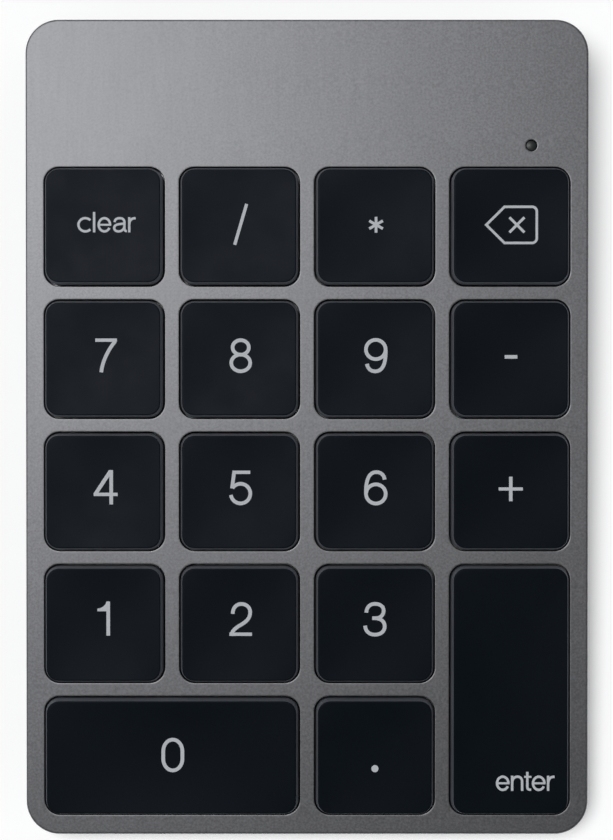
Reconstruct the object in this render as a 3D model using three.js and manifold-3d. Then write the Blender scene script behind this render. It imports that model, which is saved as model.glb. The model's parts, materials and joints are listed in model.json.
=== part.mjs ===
// A slim wireless numeric keypad: eighteen low-profile scissor keys in an aluminium deck, over a
// plastic base that holds the battery, the circuit board, the charging socket and the power switch.
//
// Units are millimetres. +X is right, +Y is towards the rear edge and +Z is up; the origin is on the
// desk, under the middle of the keypad. The deck leans towards the user, so everything that belongs
// to it is modelled in the deck's own frame: its origin is the middle of the deck's upper face, and
// heights there are called "level", 0 at the upper face and negative inside the keypad.

import * as THREE from "three";
import { mergeVertices } from "three/addons/utils/BufferGeometryUtils.js";
import Module from "manifold-3d";

const wasm = await Module();
wasm.setup();

// ---------------------------------------------------------------------------------------------
// Driving dimensions
// ---------------------------------------------------------------------------------------------

const BODY = { width: 79.3, depth: 114.9, corner: 4.7 };
const FRONT_HEIGHT = 6.0; // the deck's upper face above the desk, at the front edge
const REAR_HEIGHT = 10.4; // and at the rear edge
const TILT = Math.asin((REAR_HEIGHT - FRONT_HEIGHT) / BODY.depth);
const MIDDLE_HEIGHT = (FRONT_HEIGHT + REAR_HEIGHT) / 2;

const DECK = { thickness: 1.2, skirt: 3.4, wall: 1.3, chamfer: 0.25 };

const PITCH = { x: 19.05, y: 18.655 };
const APERTURE = { width: 17.0, depth: 16.8, corner: 2.2 };
const FRONT_MARGIN = 2.75; // from the front edge to the front row's apertures

const CAP = {
  gap: 0.2, // to the aperture, all round
  top: 1.7, // level of the flat top
  bottom: -1.2, // level of the skirt's lower edge
  draft: 0.22, // each side leans in this far between the deck's level and the bevel
  bevel: 0.16,
  wall: 0.9,
  roof: 0.7, // level of the ceiling inside
};
const TRAVEL = 1.5;

// Layers under the keys, from the steel plate upwards. Each keeps a hair of air to the next.
const AIR = 0.02;
const SUPPORT = { bottom: -4.05, top: -3.65, width: 74.0, front: -54.9, rear: 38.3 };
const MEMBRANE = { bottom: SUPPORT.top + AIR, top: -3.4 };
const SHEET = { bottom: MEMBRANE.top + AIR, top: -3.18, halfStrip: 1.5 };

// The scissor's outer lever turns on pins in the steel plate and lifts the keycap with its far end.
const LEVER = {
  span: 9.6, // between the two pin lines when the key is up
  pivotLevel: -2.7,
  pinLevel: 0.1,
  armOutside: 5.75,
  armWidth: 0.8,
  thickness: 0.7,
  pinRadius: 0.32,
  pinReach: 6.6,
};
LEVER.rise = LEVER.pinLevel - LEVER.pivotLevel;
LEVER.length = Math.hypot(LEVER.span, LEVER.rise);
LEVER.angle = Math.atan2(LEVER.rise, LEVER.span);
LEVER.slip = Math.sqrt(LEVER.length ** 2 - (LEVER.rise - TRAVEL) ** 2) - LEVER.span;

// Hooks that hold the levers' pins: bent tabs on the steel plate, moulded clips under the keycap.
const HOOK = { clearance: 0.1, wall: 0.35, lip: 0.3, width: 0.6, outer: 6.25, inner: 2.6 };

// The wire that keeps a double-length key level.
const WIRE = { radius: 0.32, halfSpan: 12.0, tip: 1.3, pivot: 1.0, bar: 6.3, bend: 1.2 };
WIRE.run = WIRE.bar - WIRE.pivot;
WIRE.arm = Math.hypot(WIRE.run, LEVER.rise);
WIRE.angle = Math.atan2(LEVER.rise, WIRE.run);
WIRE.slip = Math.sqrt(WIRE.arm ** 2 - (LEVER.rise - TRAVEL) ** 2) - WIRE.run;

const DOME = { baseRadius: 2.9, neckRadius: 1.2, wall: 0.6, neckLevel: -0.7 };

const BASE = {
  bottom: 0.8, // above the desk
  floor: 1.0,
  wall: 1.2,
  inset: 0.6, // behind the deck's skirt
  chamferIn: 1.3,
  chamferUp: 1.5,
  lip: { thickness: 0.9, height: 1.2, gap: 0.15, root: 0.3 },
};
BASE.inside = BASE.bottom + BASE.floor;
const REAR_WALL = BODY.depth / 2 - BASE.inset; // outer face of the base's rear wall

const FOOT = { radius: 4.2, height: 1.25, x: 31.0, y: 48.5, recess: 0.5, gap: 0.05 };
const SCREW = { x: PITCH.x, headRadius: 1.4, head: 0.65, shank: 0.55, reach: -1.9 };
const BOSS = { radius: 1.8, hole: 0.75, top: -1.7 };

const BOARD = { left: -7.0, right: 37.0, front: 38.9, rear: 54.6, bottom: 2.1, thickness: 0.8 };
BOARD.top = BOARD.bottom + BOARD.thickness;
const SOCKET = { x: 0, width: 8.94, height: 3.2, depth: 7.4, shell: 0.3, clearance: 0.25 };
SOCKET.tongue = { width: 6.7, height: 0.7, behindRim: 0.8 };
const SWITCH = { x: 26.0, width: 7.0, depth: 3.0, height: 2.2, travel: 2.0, slotDepth: 1.6 };
const KNOB = { width: 2.4, height: 1.3, proud: 0.85, clearance: 0.22 };
const LENS = { x: 31.6, y: 39.76, radius: 0.75, hole: 0.8, recess: 0.2 };
const CELL = { left: -36.6, right: -9.4, front: 39.4, rear: 54.4, height: 4.2 };
const RADIO = { x: 14.5, y: 49.2, width: 10.0, depth: 7.6, height: 1.6 };
const TAIL = { x: 9.5, width: 9.0 }; // the membrane's ribbon and its clamp on the board

// ---------------------------------------------------------------------------------------------
// Materials
// ---------------------------------------------------------------------------------------------

const finish = (color, roughness, metalness = 0) =>
  new THREE.MeshStandardMaterial({ color, roughness, metalness });

const FINISH = {
  aluminium: finish(0x74757a, 0.42, 1),
  keycap: finish(0x1d2025, 0.5),
  base: finish(0x4b4c50, 0.55),
  steel: finish(0x9a9da1, 0.35, 1),
  lever: finish(0xd8d8d2, 0.45),
  silicone: finish(0xc9cdd0, 0.6),
  film: finish(0xb9c4b4, 0.25),
  board: finish(0x1f4a33, 0.4),
  cell: finish(0xb3b6ba, 0.3, 0.6),
  rubber: finish(0x17181a, 0.9),
  lens: finish(0x39423f, 0.15),
  black: finish(0x141517, 0.5),
  lead: finish(0x8c1f1c, 0.5),
};

// ---------------------------------------------------------------------------------------------
// Geometry helpers
// ---------------------------------------------------------------------------------------------

/** A rectangle with round corners, centred on the origin, as a THREE.Shape. */
function roundedRectangle(width, depth, radius) {
  const x = width / 2 - radius;
  const y = depth / 2 - radius;
  const quarter = Math.PI / 2;
  return new THREE.Shape()
    .absarc(x, y, radius, 0, quarter)
    .absarc(-x, y, radius, quarter, 2 * quarter)
    .absarc(-x, -y, radius, 2 * quarter, 3 * quarter)
    .absarc(x, -y, radius, 3 * quarter, 4 * quarter);
}

/** The shape raised from one height to another. */
function prism(shape, low, high, curveSegments = 2) {
  const options = { depth: high - low, bevelEnabled: false, curveSegments };
  return new THREE.ExtrudeGeometry(shape, options).translate(0, 0, low);
}

/** A box between two opposite corners. */
function block([x0, y0, z0], [x1, y1, z1]) {
  const box = new THREE.BoxGeometry(x1 - x0, y1 - y0, z1 - z0);
  return box.translate((x0 + x1) / 2, (y0 + y1) / 2, (z0 + z1) / 2);
}

/** A round bar along Z. */
function post(radius, low, high, x = 0, y = 0, sides = 12) {
  const bar = new THREE.CylinderGeometry(radius, radius, high - low, sides).rotateX(Math.PI / 2);
  return bar.translate(x, y, (low + high) / 2);
}

/** A round bar along X. */
function pin(radius, x0, x1, y, z, sides = 5) {
  const bar = new THREE.CylinderGeometry(radius, radius, x1 - x0, sides).rotateZ(-Math.PI / 2);
  return bar.translate((x0 + x1) / 2, y, z);
}

/** An outline in the Y-Z plane, given a thickness along X about the middle x. */
function sideProfile(points, x, width) {
  const shape = new THREE.Shape(points.map(([y, z]) => new THREE.Vector2(y, z)));
  const slab = new THREE.ExtrudeGeometry(shape, { depth: width, bevelEnabled: false });
  // The outline's axes become Y and Z, and the extrusion runs along X.
  const turn = new THREE.Matrix4().makeBasis(
    new THREE.Vector3(0, 1, 0),
    new THREE.Vector3(0, 0, 1),
    new THREE.Vector3(1, 0, 0),
  );
  return slab.applyMatrix4(turn).translate(x - width / 2, 0, 0);
}

/** A closed skin through rings of points, each ring [shape, height], listed from the lowest up. */
function loft(rings, divisions = 4) {
  const outlines = rings.map(([shape]) => {
    const points = shape.getPoints(divisions);
    return points[0].distanceTo(points.at(-1)) < 1e-6 ? points.slice(0, -1) : points;
  });
  const count = outlines[0].length;
  const position = rings.flatMap(([, height], r) => outlines[r].flatMap((p) => [p.x, p.y, height]));
  const index = [];
  for (let r = 0; r + 1 < rings.length; r++) {
    for (let i = 0; i < count; i++) {
      const a = r * count + i;
      const b = r * count + ((i + 1) % count);
      index.push(a, b, b + count, a, b + count, a + count);
    }
  }
  const topRing = (rings.length - 1) * count;
  THREE.ShapeUtils.triangulateShape(outlines[0], []).forEach(([a, b, c]) => index.push(c, b, a));
  THREE.ShapeUtils.triangulateShape(outlines.at(-1), []).forEach(([a, b, c]) =>
    index.push(topRing + a, topRing + b, topRing + c),
  );
  return new THREE.BufferGeometry()
    .setAttribute("position", new THREE.Float32BufferAttribute(position, 3))
    .setIndex(index);
}

/** A body of revolution about Z from [radius, height] points that start and end on the axis. */
function turned(profile, sides, x = 0, y = 0) {
  const points = profile.map(([radius, height]) => new THREE.Vector2(radius, height));
  return new THREE.LatheGeometry(points, sides).rotateX(Math.PI / 2).translate(x, y, 0);
}

/** The geometry as a manifold-3d solid, for joining and cutting. */
function solid(geometry) {
  const bare = new THREE.BufferGeometry();
  bare.setAttribute("position", geometry.getAttribute("position"));
  if (geometry.index) bare.setIndex(geometry.index);
  const merged = mergeVertices(bare, 1e-4);
  const mesh = new wasm.Mesh({
    numProp: 3,
    vertProperties: new Float32Array(merged.attributes.position.array),
    triVerts: new Uint32Array(merged.index.array),
  });
  return new wasm.Manifold(mesh);
}

const join = (geometries) =>
  geometries.map(solid).reduce((whole, next) => whole.add(next));

const cut = (body, geometries) =>
  geometries.map(solid).reduce((rest, tool) => rest.subtract(tool), body);

/** The solid as a three.js geometry. */
function geometryOf(body) {
  const mesh = body.getMesh();
  const position = new Float32Array(mesh.numVert * 3);
  for (let v = 0; v < mesh.numVert; v++)
    for (let k = 0; k < 3; k++) position[3 * v + k] = mesh.vertProperties[v * mesh.numProp + k];
  return new THREE.BufferGeometry()
    .setAttribute("position", new THREE.BufferAttribute(position, 3))
    .setIndex(new THREE.BufferAttribute(new Uint32Array(mesh.triVerts), 1));
}

function piece(name, geometry, material) {
  const made = new THREE.Mesh(geometry, material);
  made.name = name;
  return made;
}

// ---------------------------------------------------------------------------------------------
// The key layout
// ---------------------------------------------------------------------------------------------

/** Middle of the cell in a column (0 to 3, from the left) and row (0 to 4, from the rear). */
function cell(column, row) {
  const frontRow = -BODY.depth / 2 + FRONT_MARGIN + APERTURE.depth / 2;
  return { x: (column - 1.5) * PITCH.x, y: frontRow + (4 - row) * PITCH.y };
}

const SINGLE_KEYS = [
  ["clear", "divide", "multiply", "backspace"],
  ["7", "8", "9", "minus"],
  ["4", "5", "6", "plus"],
  ["1", "2", "3", null],
  [null, null, "point", null],
];

/** Every key: its name, middle, aperture size and whether its mechanism is turned a quarter. */
const KEYS = SINGLE_KEYS.flatMap((names, row) =>
  names.flatMap((name, column) =>
    name ? [{ name, ...cell(column, row), width: APERTURE.width, depth: APERTURE.depth }] : [],
  ),
);
KEYS.push({
  name: "0",
  x: (cell(0, 4).x + cell(1, 4).x) / 2,
  y: cell(0, 4).y,
  width: APERTURE.width + PITCH.x,
  depth: APERTURE.depth,
  wire: true,
});
KEYS.push({
  name: "enter",
  x: cell(3, 4).x,
  y: (cell(3, 3).y + cell(3, 4).y) / 2,
  width: APERTURE.width,
  depth: APERTURE.depth + PITCH.y,
  wire: true,
  turned: true,
});

/** Puts a geometry made about a key's middle, with its levers along Y, where the key is. */
function atKey(key, geometry) {
  if (key.turned) geometry.rotateZ(-Math.PI / 2);
  return geometry.translate(key.x, key.y, 0);
}

const rowGap = (row) => (cell(0, row).y + cell(0, row + 1).y) / 2;

const SCREW_PLACES = [rowGap(0), rowGap(2)].flatMap((y) => [
  { x: -SCREW.x, y },
  { x: SCREW.x, y },
]);

// ---------------------------------------------------------------------------------------------
// Hooks and clips
// ---------------------------------------------------------------------------------------------

/** An L-shaped tab round a pin: its wall stands on side (-1 or 1) of the pin, and its lip faces
 *  away from the root level that it grows from. travel is how far the pin slides to that side. */
function tab({ y, level, root, side, travel = 0, radius = LEVER.pinRadius }) {
  const away = Math.sign(level - root);
  const reach = radius + HOOK.clearance;
  const wallNear = y + side * (travel + reach);
  const wallFar = wallNear + side * HOOK.wall;
  const lipEnd = y - side * (reach + 0.05);
  const lipNear = level + away * reach;
  const lipFar = lipNear + away * HOOK.lip;
  const outline = [
    [wallFar, root],
    [wallNear, root],
    [wallNear, lipNear],
    [lipEnd, lipNear],
    [lipEnd, lipFar],
    [wallFar, lipFar],
  ];
  return side * away > 0 ? outline.reverse() : outline;
}

/** The four tabs that hold one key's scissor, on the steel plate or under the keycap. */
function scissorTabs(root, level, hingeReach, slideReach) {
  const y = LEVER.span / 2;
  const hinge = tab({ y: -y, level, root, side: -1 });
  const slide = tab({ y, level, root, side: 1, travel: LEVER.slip });
  return [-1, 1].flatMap((side) => [
    sideProfile(hinge, side * hingeReach, HOOK.width),
    sideProfile(slide, side * slideReach, HOOK.width),
  ]);
}

/** Tabs on the steel plate for a levelling wire's two tips. */
function wirePlateTabs(root) {
  const outline = tab({ y: WIRE.pivot, level: LEVER.pivotLevel, root, side: -1, radius: WIRE.radius });
  const reach = WIRE.halfSpan + WIRE.radius + HOOK.width;
  return [-1, 1].map((side) => sideProfile(outline, side * reach, HOOK.width));
}

/** Clips under the keycap for a levelling wire's long bar, which slides as the key goes down. */
function wireCapTabs(root) {
  const reach = WIRE.radius + HOOK.clearance;
  const near = WIRE.bar - reach;
  const far = WIRE.bar + WIRE.slip + reach - 0.15;
  const low = LEVER.pinLevel - reach;
  const outline = [
    [near - HOOK.wall, root],
    [near - HOOK.wall, low - HOOK.lip],
    [far, low - HOOK.lip],
    [far, low],
    [near, low],
    [near, root],
  ];
  return [-9, 9].map((x) => sideProfile(outline, x, 1.2));
}

// ---------------------------------------------------------------------------------------------
// Deck: the aluminium top case
// ---------------------------------------------------------------------------------------------

function bodyOutline(inset) {
  return roundedRectangle(BODY.width - 2 * inset, BODY.depth - 2 * inset, BODY.corner - inset);
}

function topCase() {
  const shell = loft(
    [
      [bodyOutline(0), -DECK.skirt],
      [bodyOutline(0), -DECK.chamfer],
      [bodyOutline(DECK.chamfer), 0],
    ],
    6,
  );
  const hollow = prism(bodyOutline(DECK.wall), -DECK.skirt - 1, -DECK.thickness, 6);
  const apertures = KEYS.map((key) =>
    prism(
      roundedRectangle(key.width, key.depth, APERTURE.corner),
      -DECK.thickness - 1,
      1,
    ).translate(key.x, key.y, 0),
  );
  const lensHole = post(LENS.hole, -DECK.thickness - 1, 1, LENS.x, LENS.y, 16);
  const bosses = SCREW_PLACES.map(({ x, y }) =>
    post(BOSS.radius, SUPPORT.top + AIR, -DECK.thickness + 0.1, x, y),
  );
  const holes = SCREW_PLACES.map(({ x, y }) => post(BOSS.hole, SUPPORT.bottom, BOSS.top, x, y, 8));
  const open = cut(solid(shell), [hollow, ...apertures, lensHole]);
  const bossed = bosses.map(solid).reduce((whole, boss) => whole.add(boss), open);
  return piece("top_case", geometryOf(cut(bossed, holes)), FINISH.aluminium);
}

// ---------------------------------------------------------------------------------------------
// Keys
// ---------------------------------------------------------------------------------------------

function keycap(key) {
  const width = key.width - 2 * CAP.gap;
  const depth = key.depth - 2 * CAP.gap;
  const corner = APERTURE.corner - CAP.gap;
  const outline = (inset) =>
    roundedRectangle(width - 2 * inset, depth - 2 * inset, corner - inset);
  const shell = loft(
    [
      [outline(0), CAP.bottom],
      [outline(0), 0.2],
      [outline(CAP.draft), CAP.top - CAP.bevel],
      [outline(CAP.draft + CAP.bevel), CAP.top],
    ],
    2,
  );
  const hollow = prism(outline(CAP.wall), CAP.bottom - 1, CAP.roof, 1);
  const root = CAP.roof + 0.1;
  const clips = scissorTabs(root, LEVER.pinLevel, HOOK.inner, HOOK.outer);
  if (key.wire) clips.push(...wireCapTabs(root));
  const turn = key.turned ? -Math.PI / 2 : 0;
  const body = clips.reduce(
    (whole, clip) => whole.add(solid(clip.rotateZ(turn))),
    cut(solid(shell), [hollow]),
  );
  const made = piece(`keycap_${key.name}`, geometryOf(body), FINISH.keycap);
  made.position.set(key.x, key.y, 0);
  return made;
}

/** The scissor's outer lever, modelled flat with its pivot line on the local X axis. */
function scissorLever(key) {
  const { armOutside, armWidth, length, thickness, pinRadius, pinReach } = LEVER;
  const half = thickness / 2;
  const frame = new THREE.Shape();
  frame.moveTo(-armOutside, -half);
  frame.lineTo(armOutside, -half);
  frame.lineTo(armOutside, length + half);
  frame.lineTo(-armOutside, length + half);
  const inside = armOutside - armWidth;
  const window = new THREE.Path();
  window.moveTo(-inside, half);
  window.lineTo(-inside, length - half);
  window.lineTo(inside, length - half);
  window.lineTo(inside, half);
  frame.holes.push(window);
  const bars = [0, length].flatMap((y) =>
    [-1, 1].map((side) => {
      const ends = [side * (armOutside - 0.1), side * pinReach].sort((a, b) => a - b);
      return pin(pinRadius, ends[0], ends[1], y, 0);
    }),
  );
  const body = join([prism(frame, -half, half), ...bars]);
  const made = piece(`scissor_lever_${key.name}`, geometryOf(body), FINISH.lever);
  made.rotation.x = LEVER.angle;
  made.position.set(0, -LEVER.span / 2, LEVER.pivotLevel);
  return made;
}

/** A levelling wire, modelled flat with its pivot line on the local X axis. */
function levellingWire(key) {
  const { radius, halfSpan, tip, arm, bend } = WIRE;
  const end = halfSpan + tip;
  const corners = [
    [-end, 0],
    [-halfSpan, 0],
    [-halfSpan, arm],
    [halfSpan, arm],
    [halfSpan, 0],
    [end, 0],
  ].map(([x, y]) => new THREE.Vector3(x, y, 0));
  const route = new THREE.CurvePath();
  let start = corners[0];
  for (let i = 1; i < corners.length - 1; i++) {
    const back = corners[i - 1].clone().sub(corners[i]);
    const forth = corners[i + 1].clone().sub(corners[i]);
    const round = Math.min(bend, back.length() / 2, forth.length() / 2);
    const into = corners[i].clone().add(back.setLength(round));
    const out = corners[i].clone().add(forth.setLength(round));
    route.add(new THREE.LineCurve3(start, into));
    route.add(new THREE.QuadraticBezierCurve3(into, corners[i], out));
    start = out;
  }
  route.add(new THREE.LineCurve3(start, corners.at(-1)));
  const section = new THREE.Shape().absarc(0, 0, radius, 0, 2 * Math.PI);
  const options = { steps: 30, extrudePath: route, curveSegments: 3 };
  const made = piece(
    `levelling_wire_${key.name}`,
    new THREE.ExtrudeGeometry(section, options),
    FINISH.steel,
  );
  made.rotation.x = WIRE.angle;
  made.position.set(0, WIRE.pivot, LEVER.pivotLevel);
  return made;
}

/** The moving pieces under a keycap, in a group that stands at the key's middle. */
function mechanism(key) {
  const group = new THREE.Group();
  group.position.set(key.x, key.y, 0);
  if (key.turned) group.rotation.z = -Math.PI / 2;
  group.add(scissorLever(key));
  if (key.wire) group.add(levellingWire(key));
  return group;
}

// ---------------------------------------------------------------------------------------------
// Layers under the keys
// ---------------------------------------------------------------------------------------------

function supportPlate() {
  const { bottom, top, width, front, rear } = SUPPORT;
  const plate = prism(roundedRectangle(width, rear - front, 2.5), bottom, top);
  const root = top - 0.1;
  const tabs = KEYS.flatMap((key) => {
    const own = scissorTabs(root, LEVER.pivotLevel, HOOK.outer, HOOK.inner);
    if (key.wire) own.push(...wirePlateTabs(root));
    return own.map((made) => atKey(key, made));
  });
  const holes = SCREW_PLACES.map(({ x, y }) => post(BOSS.hole, bottom - 1, top + 1, x, y, 8));
  const body = join([plate.translate(0, (front + rear) / 2, 0), ...tabs]);
  return piece("support_plate", geometryOf(cut(body, holes)), FINISH.steel);
}

/** The ribbon that runs from the membrane down to the clamp on the circuit board. */
function ribbon(boardLevel) {
  const thickness = 0.2;
  const rear = SUPPORT.rear;
  const drop = MEMBRANE.bottom - boardLevel;
  const line = [
    [rear - 2, MEMBRANE.bottom],
    [rear + 0.6, MEMBRANE.bottom],
    [rear + 1.5, MEMBRANE.bottom - drop * 0.35],
    [rear + 1.5, MEMBRANE.bottom - drop * 0.75],
    [rear + 2.2, boardLevel],
    [rear + 3.6, boardLevel],
  ];
  const upper = line.map(([y, z], i) => [y + (i > 1 && i < 5 ? thickness : 0), z + thickness]);
  return sideProfile([...line, ...upper.reverse()], TAIL.x, TAIL.width);
}

function membrane(boardLevel) {
  const { width, front, rear } = SUPPORT;
  const film = prism(roundedRectangle(width, rear - front, 2.5), MEMBRANE.bottom, MEMBRANE.top);
  const low = MEMBRANE.bottom - 1;
  const high = MEMBRANE.top + 1;
  const near = LEVER.span / 2 - 0.9;
  const far = LEVER.span / 2 + LEVER.slip + 1.2;
  const slots = KEYS.flatMap((key) => {
    const own = [
      block([-7.0, -far, low], [7.0, -near, high]),
      block([-3.2, near, low], [-2.0, far, high]),
      block([2.0, near, low], [3.2, far, high]),
    ];
    if (key.wire)
      own.push(
        ...[-1, 1].map((side) =>
          block([side * 12.8 - 0.9, -0.3, low], [side * 12.8 + 0.9, 1.8, high]),
        ),
      );
    return own.map((made) => atKey(key, made));
  });
  const holes = SCREW_PLACES.map(({ x, y }) => post(BOSS.radius + 0.3, low, high, x, y, 10));
  const sheet = join([film.translate(0, (front + rear) / 2, 0), ribbon(boardLevel)]);
  return piece("membrane", geometryOf(cut(sheet, [...slots, ...holes])), FINISH.film);
}

/** One hollow rubber dome, open below. */
function dome(x, y) {
  const { baseRadius, neckRadius, wall, neckLevel } = DOME;
  const profile = [
    [0, neckLevel - 0.7],
    [neckRadius - 0.3, neckLevel - 0.7],
    [baseRadius - wall, SHEET.bottom],
    [baseRadius, SHEET.bottom],
    [baseRadius, SHEET.top],
    [neckRadius, neckLevel],
    [neckRadius, CAP.roof - 0.05],
    [0, CAP.roof - 0.05],
  ];
  return turned(profile, 6, x, y);
}

function domeSheet() {
  const { bottom, top, halfStrip } = SHEET;
  const strip = (x, front, rear) => block([x - halfStrip, front, bottom], [x + halfStrip, rear, top]);
  const bridge = (left, right, y) => block([left, y - halfStrip, bottom], [right, y + halfStrip, top]);
  const rear = cell(0, 0).y;
  const lowBridge = rowGap(3);
  const zero = KEYS.find((key) => key.name === "0");
  const web = join([
    strip(cell(0, 0).x, lowBridge, rear),
    strip(cell(1, 0).x, lowBridge, rear),
    strip(cell(2, 0).x, cell(2, 4).y, rear),
    strip(cell(3, 0).x, cell(3, 2).y, rear),
    bridge(cell(0, 0).x, cell(3, 0).x, rowGap(1)),
    bridge(cell(0, 0).x, cell(3, 0).x, lowBridge),
    strip(zero.x, zero.y, lowBridge),
  ]);
  const wells = KEYS.map(({ x, y }) =>
    post(DOME.baseRadius - 0.2, bottom - 1, top + 1, x, y, 6),
  );
  const body = KEYS.reduce((whole, { x, y }) => whole.add(solid(dome(x, y))), cut(web, wells));
  return piece("dome_sheet", geometryOf(body), FINISH.silicone);
}

function caseScrew({ x, y }, index) {
  const { headRadius, head, shank, reach } = SCREW;
  const under = SUPPORT.bottom - AIR;
  const driver = block([-0.8, -0.18, under - head - 1], [0.8, 0.18, under - head + 0.3]);
  const stem = post(shank, under - 0.1, reach, 0, 0, 6);
  const body = cut(join([post(headRadius, under - head, under), stem]), [
    driver,
    driver.clone().rotateZ(Math.PI / 2),
  ]);
  const made = piece(`case_screw_${index + 1}`, geometryOf(body), FINISH.steel);
  made.position.set(x, y, 0);
  return made;
}

/** The light pipe that carries the status light up to the deck. */
function statusLens(boardLevel) {
  const { x, y, radius, recess } = LENS;
  const bottom = boardLevel + 0.9;
  const flange = -DECK.thickness - 0.05;
  const profile = [
    [0, bottom],
    [radius, bottom],
    [radius, flange - 0.8],
    [radius + 0.6, flange - 0.8],
    [radius + 0.6, flange],
    [radius, flange],
    [radius, -recess - 0.15],
    [radius - 0.2, -recess],
    [0, -recess],
  ];
  return piece("status_lens", turned(profile, 12, x, y), FINISH.lens);
}

// ---------------------------------------------------------------------------------------------
// Base: the plastic bottom cover and what it carries, in the desk's frame
// ---------------------------------------------------------------------------------------------

const FOOT_PLACES = [
  { name: "front_left", x: -FOOT.x, y: -FOOT.y },
  { name: "front_right", x: FOOT.x, y: -FOOT.y },
  { name: "rear_left", x: -FOOT.x, y: FOOT.y },
  { name: "rear_right", x: FOOT.x, y: FOOT.y },
];

const SOCKET_LEVEL = BOARD.top + AIR + SOCKET.height / 2;
const KNOB_LEVEL = BOARD.top + AIR + SWITCH.height / 2;

/** Everything above a level of the deck, as a tool in the desk's frame. */
function aboveLevel(level, deck) {
  return block([-60, -80, level], [60, 80, level + 40]).applyMatrix4(deck.matrix);
}

function bottomCover(deck) {
  const { bottom, wall, inset, chamferIn, chamferUp, inside } = BASE;
  const outer = loft(
    [
      [bodyOutline(inset + chamferIn), bottom],
      [bodyOutline(inset), bottom + chamferUp],
      [bodyOutline(inset), REAR_HEIGHT],
    ],
    5,
  );
  const hollow = prism(bodyOutline(inset + wall), inside, REAR_HEIGHT + 1, 4);
  const tray = cut(solid(outer), [aboveLevel(-DECK.skirt - AIR, deck), hollow]);
  const body = [rim(deck), ...boardPosts(), ...cellRibs()].reduce(
    (whole, next) => whole.add(solid(next)),
    tray,
  );
  const recesses = FOOT_PLACES.map(({ x, y }) =>
    post(FOOT.radius + FOOT.gap, 0, bottom + FOOT.recess, x, y, 16),
  );
  const openings = [socketOpening(), knobOpening(), ...recesses];
  return piece("bottom_cover", geometryOf(cut(body, openings)), FINISH.base);
}

/** The lip that stands up inside the deck's skirt. */
function rim(deck) {
  const { gap, thickness, height, root } = BASE.lip;
  const low = -DECK.skirt - root;
  const ring = prism(bodyOutline(DECK.wall + gap), low, -DECK.skirt + height, 5);
  const hole = prism(bodyOutline(DECK.wall + gap + thickness), low - 1, 0, 5);
  return geometryOf(cut(solid(ring), [hole])).applyMatrix4(deck.matrix);
}

/** Four posts that the circuit board rests on. */
function boardPosts() {
  const { left, right, front, rear, bottom } = BOARD;
  const low = BASE.inside - 0.1;
  return [left + 2, right - 3].flatMap((x) =>
    [front + 2, rear - 2].map((y) => post(1.2, low, bottom - AIR, x, y, 8)),
  );
}

/** Two ribs that fence the battery in. */
function cellRibs() {
  const { left, right, front, rear } = CELL;
  const low = BASE.inside - 0.1;
  return [
    block([right + 0.4, front, low], [right + 1.2, rear, 4.2]),
    block([left, front - 1.0, low], [right, front - 0.3, 3.0]),
  ];
}

/** The tool that opens the rear wall round the charging socket. */
function socketOpening() {
  const height = SOCKET.height + 2 * SOCKET.clearance;
  const width = SOCKET.width + 2 * SOCKET.clearance;
  const mouth = prism(roundedRectangle(width, height, height / 2 - 0.01), 0, 6, 4);
  return mouth.rotateX(Math.PI / 2).translate(SOCKET.x, REAR_WALL + 2, SOCKET_LEVEL);
}

/** The tool that opens the rear wall for the power switch's knob and its travel. */
function knobOpening() {
  const along = KNOB.width / 2 + SWITCH.travel / 2 + KNOB.clearance;
  const up = KNOB.height / 2 + KNOB.clearance;
  return block(
    [SWITCH.x - along, REAR_WALL - 4, KNOB_LEVEL - up],
    [SWITCH.x + along, REAR_WALL + 2, KNOB_LEVEL + up],
  );
}

function foot({ name, x, y }) {
  const { radius, height } = FOOT;
  const profile = [
    [0, 0],
    [radius - 0.4, 0],
    [radius, 0.4],
    [radius, height],
    [0, height],
  ];
  const made = piece(`foot_${name}`, turned(profile, 16), FINISH.rubber);
  made.position.set(x, y, 0);
  return made;
}

function circuitBoard() {
  const { left, right, front, rear, bottom, top } = BOARD;
  return piece(
    "circuit_board",
    block([left, front, bottom], [right, rear, top]),
    FINISH.board,
  );
}

/** The charging socket's shell, with the tongue that carries its contacts. */
function chargingSocket() {
  const { x, width, height, depth, shell, tongue } = SOCKET;
  const face = REAR_WALL - 0.1;
  const outline = (inset) =>
    roundedRectangle(width - 2 * inset, height - 2 * inset, (height - 2 * inset) / 2 - 0.01);
  const along = (shape, from, to) =>
    prism(shape, from, to, 4).rotateX(Math.PI / 2).translate(x, face, SOCKET_LEVEL);
  const blade = roundedRectangle(tongue.width, tongue.height, 0.15);
  const can = cut(solid(along(outline(0), 0, depth)), [along(outline(shell), -1, depth - 1)]);
  const body = can.add(solid(along(blade, tongue.behindRim, depth - 0.5)));
  return piece("charging_socket", geometryOf(body), FINISH.steel);
}

/** The slide switch's body, behind the rear wall. */
function switchBody() {
  const { x, width, depth, height } = SWITCH;
  const rear = BOARD.rear - 0.2;
  const low = BOARD.top + AIR;
  const can = block([x - width / 2, rear - depth, low], [x + width / 2, rear, low + height]);
  const track = KNOB.width / 2 + SWITCH.travel / 2 + 0.1;
  const tall = KNOB.height / 2 + 0.1;
  const slot = block(
    [x - track, rear - SWITCH.slotDepth, KNOB_LEVEL - tall],
    [x + track, rear + 1, KNOB_LEVEL + tall],
  );
  return piece("power_switch_body", geometryOf(cut(solid(can), [slot])), FINISH.steel);
}

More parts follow.
